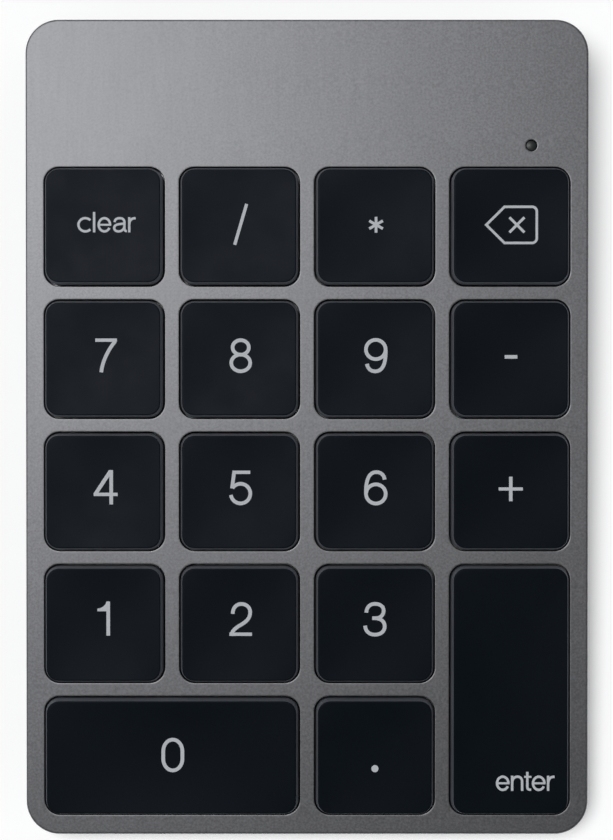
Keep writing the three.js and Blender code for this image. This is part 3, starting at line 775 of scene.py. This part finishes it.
def lens_hole(skin, under):
    outline = shrinking_circle(LENS["hole"], middle(deck_box("status_lens")))
    return opening(skin, outline, LENS["hole_edge"], under)


def boss(skin, screw, under):
    """A boss that takes a case screw, on the deck's underside. Returns the loop at its root."""
    thick = BOSS["radius"] - BOSS["hole"]
    profile = [(-SUPPORT, under), (0.0, under), (0.0, BOSS["end"])]
    profile += [(thick, BOSS["end"]), (thick, BOSS["hole_top"])]
    rings = skin.rings(shrinking_circle(BOSS["radius"], screw), profile)
    skin.wall(*rings)
    skin.fill(rings[-1])
    return rings[0]


# --- Keycaps ---


def face_level(key, x, y):
    """Level of a keycap's hollowed face at a place measured from the key's middle."""
    side = CAP["draft"] + CAP["edge"]
    across = 1 - (x / (key.width / 2 - side)) ** 2
    along = 1 - (y / (key.depth / 2 - side)) ** 2
    return key.top - CAP["dish"] * max(across, 0) * max(along, 0)


def clips(key):
    """The clips under a keycap that hold its levers, which keep the shape of the CAD keycap's."""
    mesh = bmesh.new()
    mesh.from_mesh(NODES[key.node].data)
    bmesh.ops.remove_doubles(mesh, verts=mesh.verts, dist=1e-7)
    data = bpy.data.meshes.new(f"clips_{key.name}")
    mesh.to_mesh(data)
    mesh.free()
    whole = shown(data.name, data, "keycap", Matrix.Scale(1 / MM, 4))
    gap = 2 * (CAP["wall"] + 0.05)
    outline = shrinking(key.width - gap, key.depth - gap, 1.0)
    reach = [(0, key.bottom - 2), (0, CAP["roof"] + 0.1)]
    inside = prism(f"inside_{key.name}", "keycap", outline, reach, DECK_PLACE @ key.place())
    return combine(whole, "INTERSECT", inside)


def keycap(key):
    """A hollow cap with a dished face and leaning sides, and the clips inside it."""
    corner = APERTURE["corner"] - APERTURE["gap"]
    outline = shrinking(key.width, key.depth, corner, 6, side_steps=8 if key.width < 20 else 16)
    draft, edge, wall, roof = CAP["draft"], CAP["edge"], CAP["wall"], CAP["roof"]

    def shrunk(share):
        return [(x * share, y * share) for x, y in outline(draft + edge)]

    skin = Skin()
    sides = [(0.1, key.bottom), (0.0, key.bottom + 0.1)]
    sides += [(0.0, CAP["straight"]), (0.02, CAP["straight"] + 0.15)]
    sides += [(draft + inset, level) for inset, level in round_over(edge, key.top, steps=6)]
    outside = skin.rings(outline, sides)
    inside = skin.rings(outline, [(wall, key.bottom), (wall, roof - 0.2), (wall + 0.2, roof)])
    shares = (0.985, 0.95, 0.88, 0.78, 0.65, 0.5, 0.35, 0.18)
    face = [skin.ring(shrunk(share), lambda x, y: face_level(key, x, y)) for share in shares]
    skin.wall(*reversed(inside), *outside[:2])
    # The leaning sides take the second material, whose paler colour is a painted reflection of the
    # deck.
    skin.wall(*outside[1:6], finish=1)
    skin.wall(*outside[5:], *face)
    skin.fan(face[-1], (0, 0, face_level(key, 0, 0)))
    skin.fill(inside[-1])
    piece = skin.piece(f"cap_{key.name}", "keycap", DECK_PLACE @ key.place(), sharp=CAP["sharp"])
    # The sides' material: its paler grey paints in the deck's reflection.
    piece.data.materials.append(FINISHES["keycap_side_painted_reflection"])
    combine(piece, "UNION", clips(key), sharp=CAP["sharp"])
    stand_in(piece, key.node, key.node)


# --- Legends ---

DIGIT = {"stroke": 0.51, "bar": 0.47, "half_width": 1.345, "half_height": 2.17}
WORD = {"stroke": 0.34, "bar": 0.28, "x_height": 2.13, "gap": 0.19}


def bezier(start, *curves, steps=8):
    """Points along cubic curves, each given as (first handle, second handle, end)."""
    points = [start]
    for first, second, end in curves:
        begin = points[-1]
        for step in range(1, steps + 1):
            t = step / steps
            weights = ((1 - t) ** 3, 3 * t * (1 - t) ** 2, 3 * t * t * (1 - t), t**3)
            pulls = list(zip(weights, (begin, first, second, end)))
            points.append(tuple(sum(pull * at[axis] for pull, at in pulls) for axis in (0, 1)))
    return points


def oval(at, across, along, start=0, end=360, steps=32):
    """Points along an ellipse between two angles in degrees."""
    count = max(3, round(steps * abs(end - start) / 360))
    angles = [math.radians(start + (end - start) * i / count) for i in range(count + 1)]
    return [(at[0] + across * math.cos(a), at[1] + along * math.sin(a)) for a in angles]


def line(*points, step=1.0):
    """A polyline with extra points, so that it can follow a curved face."""
    result = [points[0]]
    for start, end in zip(points, points[1:]):
        count = max(1, math.ceil(math.dist(start, end) / step))
        for i in range(1, count + 1):
            result.append(tuple(a + (b - a) * i / count for a, b in zip(start, end)))
    return result


def stroke(points, width):
    """The quads of a flat-ended stroke of some width along a line of points."""
    closed = math.dist(points[0], points[-1]) < 1e-6
    if closed:
        points = points[:-1]
    count = len(points)
    sides = []
    for i, point in enumerate(points):
        here = Vector(point)
        before = Vector(points[i - 1]) if closed or i else None
        after = Vector(points[(i + 1) % count]) if closed or i + 1 < count else None
        steps = []
        if before is not None:
            steps.append((here - before).normalized())
        if after is not None:
            steps.append((after - here).normalized())
        along = sum(steps, Vector((0, 0))).normalized()
        reach = width / 2 / max(along.dot(steps[0]), 0.3)
        across = Vector((-along.y, along.x)) * reach
        sides.append((here + across, here - across))
    pairs = list(zip(sides, sides[1:] + sides[:1])) if closed else list(zip(sides, sides[1:]))
    return [[tuple(a[0]), tuple(a[1]), tuple(b[1]), tuple(b[0])] for a, b in pairs]


def digit_strokes(points):
    return stroke(points, DIGIT["stroke"])


def zero():
    w, h = DIGIT["half_width"], DIGIT["half_height"]
    rise = 1.62
    top = oval((0, h - rise), w, rise, 0, 180)
    bottom = oval((0, rise - h), w, rise, 180, 360)
    return digit_strokes(top + bottom + top[:1])


def one():
    stem = stroke(line((0.44, -2.36), (0.44, 2.45)), DIGIT["stroke"])
    flag = [(-1.08, 1.07), (0.3, 1.07), (0.3, 2.45), (0.22, 2.45), (0.05, 2.05)]
    flag += [(-0.3, 1.7), (-0.7, 1.5), (-1.08, 1.44)]
    return stem + [flag]


def two():
    hook = bezier(
        (-1.15, 0.71),
        ((-1.12, 1.55), (-0.65, 2.1), (0.06, 2.1)),
        ((0.8, 2.1), (1.32, 1.62), (1.32, 0.95)),
        ((1.32, 0.1), (0.75, -0.4), (0.13, -0.76)),
        ((-0.75, -1.26), (-1.3, -1.7), (-1.34, -2.38)),
    )
    foot = line((-1.6, -2.155), (1.57, -2.155))
    return digit_strokes(hook) + stroke(foot, DIGIT["bar"])


def three():
    upper = bezier(
        (-1.25, 0.88),
        ((-1.22, 1.62), (-0.75, 2.12), (-0.05, 2.12)),
        ((0.7, 2.12), (1.19, 1.75), (1.19, 1.15)),
        ((1.19, 0.55), (0.75, 0.1), (0.08, 0.1)),
        ((-0.1, 0.1), (-0.25, 0.1), (-0.42, 0.1)),
    )
    lower = bezier(
        (-0.1, 0.1),
        ((0.85, 0.1), (1.34, -0.4), (1.34, -1.05)),
        ((1.34, -1.75), (0.78, -2.22), (-0.03, -2.22)),
        ((-0.82, -2.22), (-1.38, -1.75), (-1.41, -0.95)),
    )
    return digit_strokes(upper) + digit_strokes(lower)


def four():
    stem = digit_strokes(line((0.76, -2.36), (0.76, 2.46)))
    bar = stroke(line((-1.7, -0.95), (1.66, -0.95)), DIGIT["bar"])
    slope = [(-1.7, -0.78), (-1.07, -0.78), (0.52, 1.6), (0.52, 2.46), (0.44, 2.46)]
    return stem + bar + [slope]


def five():
    bar = stroke(line((-1.08, 2.16), (1.36, 2.16)), DIGIT["bar"])
    side = digit_strokes(line((-0.87, 2.39), (-1.2, -0.1)))
    bowl = oval((0.0, -0.83), 1.37, 1.38, 146, -172)
    return bar + side + digit_strokes(bowl)


def six():
    bowl = oval((0.02, -0.86), 1.38, 1.35)
    arch = bezier(
        (1.25, 1.15),
        ((1.18, 1.82), (0.7, 2.21), (0.08, 2.21)),
        ((-0.92, 2.21), (-1.37, 1.16), (-1.37, -0.5)),
        ((-1.37, -0.62), (-1.37, -0.74), (-1.36, -0.86)),
    )
    return digit_strokes(bowl) + digit_strokes(arch)


def seven():
    bar = stroke(line((-1.49, 2.17), (1.55, 2.17)), DIGIT["bar"])
    leg = bezier((1.3, 2.0), ((0.5, 1.1), (-0.52, -0.7), (-0.66, -2.34)))
    return bar + digit_strokes(leg)


def eight():
    upper = oval((0.0, 1.15), 1.14, 1.02)
    lower = oval((0.0, -1.02), 1.33, 1.17)
    return digit_strokes(upper) + digit_strokes(lower)


def nine():
    return [[(-x, -y) for x, y in quad] for quad in six()]


def plus():
    return stroke(line((-1.69, 0), (1.69, 0)), 0.44) + stroke(line((0, -1.72), (0, 1.72)), 0.49)


def minus():
    return stroke(line((-0.89, 0), (0.89, 0)), 0.5)


def times():
    """An asterisk of six arms."""
    quads = []
    for turn in (90, 30, 150):
        along = Vector((math.cos(math.radians(turn)), math.sin(math.radians(turn)))) * 1.11
        quads += stroke(line(tuple(-along), tuple(along)), 0.38)
    return quads


def slash():
    return stroke(line((-0.84, -2.86), (0.84, 2.86)), 0.44)


def dot():
    return [oval((0, 0), 0.5, 0.5)[:-1]]


def backspace():
    """A tag that points left, with a cross in it."""
    w, h, corner, shoulder = 3.54, 2.53, 0.66, -0.98
    top = oval((w - corner, h - corner), corner, corner, 90, 0)
    bottom = oval((w - corner, corner - h), corner, corner, 0, -90)
    tag = line((-w, 0), (shoulder, h), *top, *bottom, (shoulder, -h), (-w, 0))
    quads = stroke(tag, 0.35)
    for rise in (-1.05, 1.05):
        quads += stroke(line((-0.29, -rise), (1.81, rise)), 0.37)
    return quads


def pen(points):
    return stroke(points, WORD["stroke"])


def letter(name):
    """A lower-case letter as (width, quads), with its left edge at 0 and its foot at 0."""
    half = WORD["stroke"] / 2
    low, high = half - 0.03, WORD["x_height"] - half + 0.03
    mid, tall = (low + high) / 2, (high - low) / 2
    stem = pen(line((half, 0), (half, WORD["x_height"])))
    if name == "c":
        return 1.975, pen(oval((1.13, mid), 0.97, tall, 44, 316))
    if name == "e":
        bowl = oval((0.98, mid), 0.8, tall, 0, 332)
        return 1.94, pen(bowl) + stroke(line((0.3, mid), (1.93, mid)), WORD["bar"])
    if name == "l":
        return 0.46, pen(line((half + 0.02, 0), (half + 0.02, 2.86)))
    if name == "n":
        right = 1.74 - half
        shoulder = ((half, 1.66), (0.5, high), (0.92, high))
        arch = bezier((half, 1.1), shoulder, ((1.35, high), (right, 1.7), (right, 1.29)))
        return 1.65, stem + pen(arch + line((right, 1.2), (right, 0)))
    if name == "r":
        arch = bezier((half, 1.06), ((half, 1.61), (0.45, high + 0.02), (1.07, high)))
        return 1.07, stem + pen(arch)
    if name == "t":
        stalk = ((0.46, 2.0), (0.46, 1.1), (0.46, 0.6))
        foot = bezier((0.46, 2.66), stalk, ((0.46, 0.23), (0.64, low), (1.0, low + 0.02)))
        return 0.89, pen(foot) + stroke(line((0.02, 1.97), (1.04, 1.97)), WORD["bar"])
    hood = bezier(
        (0.28, 1.43),
        ((0.32, 1.82), (0.6, high), (1.02, high)),
        ((1.42, high), (1.66, 1.75), (1.66, 1.43)),
        ((1.66, 1.01), (1.64, 0.57), (1.68, 0.39)),
        ((1.7, 0.26), (1.8, 0.18), (2.0, 0.17)),
    )
    bowl = bezier(
        (1.66, 1.27),
        ((1.3, 1.12), (0.22, 1.27), (0.22, 0.63)),
        ((0.22, 0.33), (0.48, low), (0.82, low)),
        ((1.3, low), (1.62, 0.46), (1.66, 0.87)),
    )
    return 1.975, pen(hood) + pen(bowl)


def word(text):
    """The quads of a word, with its left edge and its foot at 0."""
    quads = []
    x = 0.0
    for name in text:
        width, drawn = letter(name)
        quads += [[(px + x, py) for px, py in quad] for quad in drawn]
        x += width + WORD["gap"]
    return quads


# Each key's legend, and how far from the key's middle its own origin lies.
LEGENDS = {
    "clear": (lambda: word("clear"), (-3.62, -0.92)),
    "divide": (slash, (0.22, 0.20)),
    "multiply": (times, (0.14, 0.15)),
    "backspace": (backspace, (0.07, 0.13)),
    "7": (seven, (0.37, 0.47)),
    "8": (eight, (0.22, 0.47)),
    "9": (nine, (0.13, 0.47)),
    "minus": (minus, (0.02, 0.30)),
    "4": (four, (0.33, 0.61)),
    "5": (five, (0.19, 0.60)),
    "6": (six, (0.11, 0.58)),
    "plus": (plus, (0.01, 0.42)),
    "1": (one, (0.21, 0.82)),
    "2": (two, (0.22, 0.82)),
    "3": (three, (0.04, 0.82)),
    "point": (dot, (0.01, -1.60)),
    "0": (zero, (0.18, 0.32)),
    "enter": (lambda: word("enter"), (-2.06, -14.03)),
}


def slab(name, finish, outlines, holes, levels, place):
    """A thin piece. Its plan is the area that the outlines cover together, less the holes, and
    levels are its lower and upper heights as functions of x and y."""
    points, loops = [], []
    for outline in outlines + holes:
        loops.append(list(range(len(points), len(points) + len(outline))))
        points += [Vector(point) for point in outline]
    flat, _, triangles, _, _, sources = geometry.delaunay_2d_cdt(points, [], loops, 1, 1e-4)
    covered = [bool(source) and max(source) < len(outlines) for source in sources]
    kept = [tri for tri, solid in zip(triangles, covered) if solid]
    mesh = bmesh.new()
    lower, upper = [[mesh.verts.new((x, y, level(x, y))) for x, y in flat] for level in levels]
    for a, b, c in kept:
        mesh.faces.new((upper[a], upper[b], upper[c]))
        mesh.faces.new((lower[c], lower[b], lower[a]))
    ordered = [(tri[i], tri[(i + 1) % 3]) for tri in kept for i in range(3)]
    shared = set(ordered)
    for start, end in ordered:
        if (end, start) not in shared:
            mesh.faces.new((lower[start], lower[end], upper[end], upper[start]))
    loose = [vertex for vertex in mesh.verts if not vertex.link_faces]
    bmesh.ops.delete(mesh, geom=loose, context="VERTS")
    bmesh.ops.recalc_face_normals(mesh, faces=mesh.faces)
    data = bpy.data.meshes.new(name)
    mesh.to_mesh(data)
    mesh.free()
    return shown(name, data, finish, place)


def legend(key):
    """The painted legend, a thin raised print that follows the keycap's hollowed face."""
    draw, (dx, dy) = LEGENDS[key.name]
    outlines = [[(x + dx, y + dy) for x, y in quad] for quad in draw()]

    def sunk(x, y):
        return face_level(key, x, y) - LEGEND["sunk"]

    def raised(x, y):
        return face_level(key, x, y) + LEGEND["raised"]

    place = DECK_PLACE @ key.place()
    piece = slab(f"legend_{key.name}", "legend", outlines, [], (sunk, raised), place)
    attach(piece, key.node)


# --- What lies under the keycaps ---


def dome(key):
    """A hollow rubber dome with a plunger inside."""
    low, sheet, base, neck = DOME["low"], DOME["sheet"], DOME["base"], DOME["neck"]
    top = CAP["roof"] - 0.05
    shoulder = DOME["shoulder"]
    inside = [(0, shoulder - 0.7), (neck - 0.42, shoulder - 0.7), (neck - 0.24, shoulder - 0.82)]
    inside += [(1.5, -2.2), (2.1, -3.1), (base - DOME["wall"], low)]
    flange = [(base - 0.05, low), (base, low + 0.05), (base, sheet - 0.04), (base - 0.05, sheet)]
    outside = [(2.62, sheet + 0.08), (2.3, -2.75), (1.65, -1.6)]
    outside += [(neck + 0.12, shoulder - 0.28), (neck, shoulder)]
    crown = [(neck, top - 0.16), (neck - 0.05, top - 0.05), (neck - 0.16, top)]
    crown += [(0.5, top), (0.4, top - 0.06), (0, top - 0.06)]
    profile = inside + flange + outside + crown
    piece = lathe(f"dome_{key.name}", "dome", profile, DECK_PLACE @ key.place(), sides=32)
    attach(piece, "base")
    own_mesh(piece)


def dome_web():
    """The thin sheet that joins the domes: a strip along each column, and bridges between them."""
    at = {key.name: key for key in KEYS}
    half = 1.5

    def box(x0, y0, x1, y1):
        return [(x0, y0), (x1, y0), (x1, y1), (x0, y1)]

    def strip(x, front, rear):
        return box(x - half, front, x + half, rear)

    front = at["enter"].y
    bridge = (at["7"].y + at["4"].y) / 2
    outlines = [
        strip(at["7"].x, front, at["7"].y + half),
        strip(at["8"].x, front, at["divide"].y),
        strip(at["9"].x, at["point"].y, at["multiply"].y),
        strip(at["minus"].x, at["plus"].y, at["backspace"].y),
        strip(at["7"].x, bridge, at["clear"].y),
        strip(at["0"].x, at["0"].y, front),
    ]
    outlines += [box(at["7"].x, y - half, at["minus"].x, y + half) for y in (front, bridge)]
    wells = [circle(DOME["base"] - 0.02, (key.x, key.y), 32) for key in KEYS]
    levels = (lambda x, y: DOME["low"], lambda x, y: DOME["sheet"])
    piece = slab("dome_web", "dome", outlines, wells, levels, DECK_PLACE)
    stand_in(piece, "dome_sheet", "base")


def lever_pattern():
    """The inner lever of a scissor, in a key's frame: two arms, a bar at each end, and the studs
    that it turns on."""
    low, high = LEVER["low"], LEVER["high"]
    inner = LEVER["arm"] - LEVER["arm_width"] / 2
    outer = LEVER["arm"] + LEVER["arm_width"] / 2
    along = Vector((0, -LEVER["span"], high - low))
    length = along.length
    along.normalize()
    across = Vector((1, 0, 0))
    turn = Matrix((along, across.cross(along), across)).transposed().to_4x4()
    place = Matrix.Translation((0, 0, (low + high) / 2)) @ turn

    def pin(end):
        return shrinking_circle(LEVER["pin"], (end * length / 2, 0), 20)

    def part(name, outline, start, end, edge=0.06):
        profile = [(edge, start), (0.0, start + edge), (0.0, end - edge), (edge, end)]
        return prism(name, "lever", outline, profile, place)

    thickness = LEVER["thickness"]
    arm = shrinking(length + thickness, thickness, thickness / 2 - 0.001)
    root = outer - 0.1
    stud = LEVER["stud"]
    arms = [part("arm", arm, start, start + LEVER["arm_width"]) for start in (-outer, inner)]
    bars = [part("bar", pin(end), -LEVER["arm"], LEVER["arm"]) for end in (-1, 1)]
    studs = [part("stud", pin(0), start, start + stud) for start in (-root - stud, root)]
    return combine(arms[0], "UNION", arms[1], *bars, *studs)


def inner_levers():
    """The scissors' inner levers. Each one's lower bar slides on the plate, and its upper bar turns
    in the keycap's clips."""
    pattern = lever_pattern()
    for key in KEYS:
        turn = -math.pi / 2 if key.turned else 0.0
        place = DECK_PLACE @ key.place(turn) @ Matrix.Scale(1 / MM, 4)
        piece = shown(f"inner_lever_{key.name}", pattern.data.copy(), "lever", place)
        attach(piece, "base")
        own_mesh(piece)
    bpy.data.objects.remove(pattern)


def lens():
    """The light pipe: a stem with a crowned end under the deck's hole, and a flange."""
    low, high = deck_box("status_lens")
    stem, wide = LENS["stem"], (high.x - low.x) / 2
    seat = -DECK["thickness"] - LENS["gap"]
    root = seat - LENS["flange"]
    at = middle((low, high))
    profile = [(0, low.z), (stem - 0.05, low.z), (stem, low.z + 0.05), (stem, root)]
    profile += [(wide - 0.05, root), (wide, root + 0.05), (wide, seat - 0.05), (wide - 0.05, seat)]
    profile += [(stem, seat), (stem, high.z - 0.18), (0.66, high.z - 0.07)]
    profile += [(0.4, high.z - 0.015), (0, high.z)]
    piece = lathe("lens", "lens", profile, DECK_PLACE @ Matrix.Translation((at.x, at.y, 0)))
    stand_in(piece, "status_lens", "base")


# --- Base ---

REARWARD = Matrix.Rotation(-math.pi / 2, 4, "X")  # turns a piece's upper end towards the rear


def height_of(level):
    """The height above the desk of one of the deck's levels, as a function of x and y."""
    start = on_deck(0, 0, level) / MM
    return lambda x, y: start.z - (UP.x * (x - start.x) + UP.y * (y - start.y)) / UP.z


def post(skin, outline, root, end, edge=0.06):
    """The walls of a post on a flat face, or of a recess in it. Returns the loop at its root."""
    turn = math.copysign(edge, end - root)
    profile = [(-SUPPORT, root), (0.0, root), (0.0, end - turn), (edge, end)]
    rings = skin.rings(outline, profile)
    skin.wall(*rings)
    skin.fill(rings[-1])
    return rings[0]


def bottom_cover():
    """A tray with a chamfered bottom. A lip round its rim fits inside the deck's skirt."""
    low, high = desk_box("bottom_cover")
    outline = box_outline((low, high), DECK["corner"] - BASE["inset"])
    across, up = BASE["chamfer_in"], BASE["chamfer_up"]
    seam = height_of(BASE["seam"])
    floor = low.z + BASE["floor"]
    outside = [
        (across + 0.12, low.z),
        (across - 0.08, low.z + 0.09),
        (0.08, low.z + up - 0.09),
        (0.0, low.z + up + 0.12),
        (0.0, lambda x, y: seam(x, y) - 0.1),
        (0.1, seam),
    ]
    lip_out = DECK["wall"] + LIP["gap"]
    lip_in = lip_out + LIP["thickness"]
    lip = [
        (lip_out, BASE["seam"]),
        (lip_out, LIP["top"] - 0.1),
        (lip_out + 0.1, LIP["top"]),
        (lip_in - 0.1, LIP["top"]),
        (lip_in, LIP["top"] - 0.1),
        (lip_in, LIP["root"]),
    ]
    wall = BASE["wall"]
    inside = [(wall, height_of(LIP["root"])), (wall, floor + 0.3), (wall + 0.3, floor)]
    skin = Skin()
    rings = skin.rings(outline, outside)
    rings += skin.rings(DECK_OUTLINE, lip, DECK_PLACE)
    rings += skin.rings(outline, inside)
    skin.wall(*rings)
    skin.fill(rings[0], *[foot_recess(skin, node, low.z) for node in FEET])
    skin.fill(rings[-1], *board_posts(skin, floor), *cell_ribs(skin, floor))
    piece = skin.piece("base_cover", "base")
    combine(piece, "DIFFERENCE", socket_opening(high.y), knob_opening(high.y))
    stand_in(piece, "bottom_cover", "base")


FEET = [node for node in NODES if node.startswith("foot_")]


def foot_recess(skin, node, bottom):
    outline = shrinking_circle(FOOT["radius"] + FOOT["gap"], middle(desk_box(node)), 48)
    return post(skin, outline, bottom, bottom + FOOT["recess"])


def board_posts(skin, floor):
    """Four posts that the circuit board rests on."""
    low, high = desk_box("circuit_board")
    top = low.z - 0.02
    places = [(x, y) for x in (low.x + 2, high.x - 3) for y in (low.y + 2, high.y - 2)]
    outlines = [shrinking_circle(BASE["post"], at, 24) for at in places]
    return [post(skin, outline, floor, top) for outline in outlines]


def cell_ribs(skin, floor):
    """Two ribs that fence the battery in."""
    low, high = desk_box("battery")
    ribs = [
        ((high.x + 0.6, low.y), (high.x + 1.4, high.y), 4.2),
        ((low.x, low.y - 1.0), (high.x, low.y - 0.3), 3.0),
    ]
    roots = []
    for start, end, top in ribs:
        box = Vector((*start, 0)), Vector((*end, 0))
        roots.append(post(skin, box_outline(box, 0.3, corner_steps=3), floor, top))
    return roots


def wall_opening(name, outline, at, wall):
    """A tool that cuts an opening with a bevelled rim through the rear wall."""
    bevel, beyond = OPENING["bevel"], 0.4
    profile = [(0, -OPENING["depth"]), (0, -bevel), (-bevel - beyond, beyond)]
    place = Matrix.Translation((at.x, wall, at.z)) @ REARWARD
    return prism(name, "base", outline, profile, place)


def stadium(width, height):
    """A shrinking outline with half-round ends."""
    return shrinking(width, height, height / 2 - 0.001, 12)


def socket_opening(wall):
    low, high = desk_box("charging_socket")
    clear = 2 * SOCKET["clearance"]
    outline = stadium(high.x - low.x + clear, high.z - low.z + clear)
    return wall_opening("socket_tool", outline, middle((low, high)), wall)


def knob_opening(wall):
    low, high = desk_box("power_switch_knob")
    travel = KNOB["travel"]
    clear = KNOB["clearance"]
    width = high.x - low.x + travel + 2 * clear
    height = high.z - low.z + 2 * clear
    at = middle((low, high)) + Vector((travel / 2, 0, 0))
    return wall_opening("knob_tool", shrinking(width, height, 0.25, 4), at, wall)


def feet():
    """Rubber feet with a raised ring that grips the desk."""
    flat, radius = FOOT["flat"], FOOT["radius"]
    for node in FEET:
        low, high = desk_box(node)
        at, top = middle((low, high)), high.z
        profile = [(0, 0.15), (2.4, 0.15), (2.6, 0.1), (2.85, 0)]
        profile += [(flat - 0.1, 0), (flat + 0.08, 0.08), (radius - 0.03, 0.33), (radius, 0.45)]
        profile += [(radius, top - 0.06), (radius - 0.06, top), (0, top)]
        place = Matrix.Translation((at.x, at.y, 0))
        piece = lathe(node.replace("foot", "rubber_foot"), "rubber", profile, place, sides=64)
        stand_in(piece, node, "base")


def charging_socket():
    """A drawn steel shell round a tongue that has a row of gold contacts on each face."""
    low, high = desk_box("charging_socket")
    size, at = high - low, middle((low, high))
    place = Matrix.Translation((at.x, high.y, at.z)) @ REARWARD
    shell, back = SOCKET["shell"], 1 - size.y
    profile = [(0, -size.y), (0, -0.08), (0.08, 0)]
    profile += [(shell - 0.08, 0), (shell, -0.08), (shell, back)]
    can = prism("socket_shell", "steel", stadium(size.x, size.z), profile, place)
    stand_in(can, "charging_socket", "base")

    def blade(inset):
        return rounded(SOCKET["tongue"] - 2 * inset, SOCKET["blade"] - 2 * inset, 0.15, 4)

    tip = -SOCKET["tongue_behind"]
    profile = [(0, back - 0.1), (0, tip - 0.1), (0.1, tip)]
    tongue = prism("socket_tongue", "black", blade, profile, place)
    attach(tongue, "base")
    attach(socket_contacts(tip, place), "base")


def socket_contacts(tip, place):
    """Flat contacts in the faces of the tongue, whose end is at the level tip."""
    skin = Skin()
    width, height, bevel = SOCKET["contact_width"], 0.08, 0.02
    rear, front = [tip - behind for behind in SOCKET["contact_ends"]]
    profile = [(bevel, rear), (0.0, rear + bevel), (0.0, front - bevel), (bevel, front)]

    def bar(at):
        return lambda inset: rounded(width - 2 * inset, height - 2 * inset, 0.015, 2, at=at)

    for side in (-1, 1):
        for i in range(SOCKET["contacts"]):
            x = (i - (SOCKET["contacts"] - 1) / 2) * SOCKET["contact_pitch"]
            skin.block(bar((x, side * SOCKET["blade"] / 2)), profile)
    return skin.piece("socket_contacts", "gold", place)


# --- Assembly ---

camera()
studio()
deck()
for key in KEYS:
    keycap(key)
    legend(key)
    dome(key)
dome_web()
inner_levers()
lens()
bottom_cover()
feet()
charging_socket()

dress("steel", "support_plate", "power_switch_body", "radio_module")
dress("steel", *[node for node in NODES if node.startswith(("case_screw", "levelling_wire"))])
dress("lever", *[node for node in NODES if node.startswith("scissor_lever")])
dress("film", "membrane")
dress("board", "circuit_board")
dress("cell", "battery")
dress("lead", "battery_lead")
dress("black", "ribbon_clamp", "power_switch_knob")
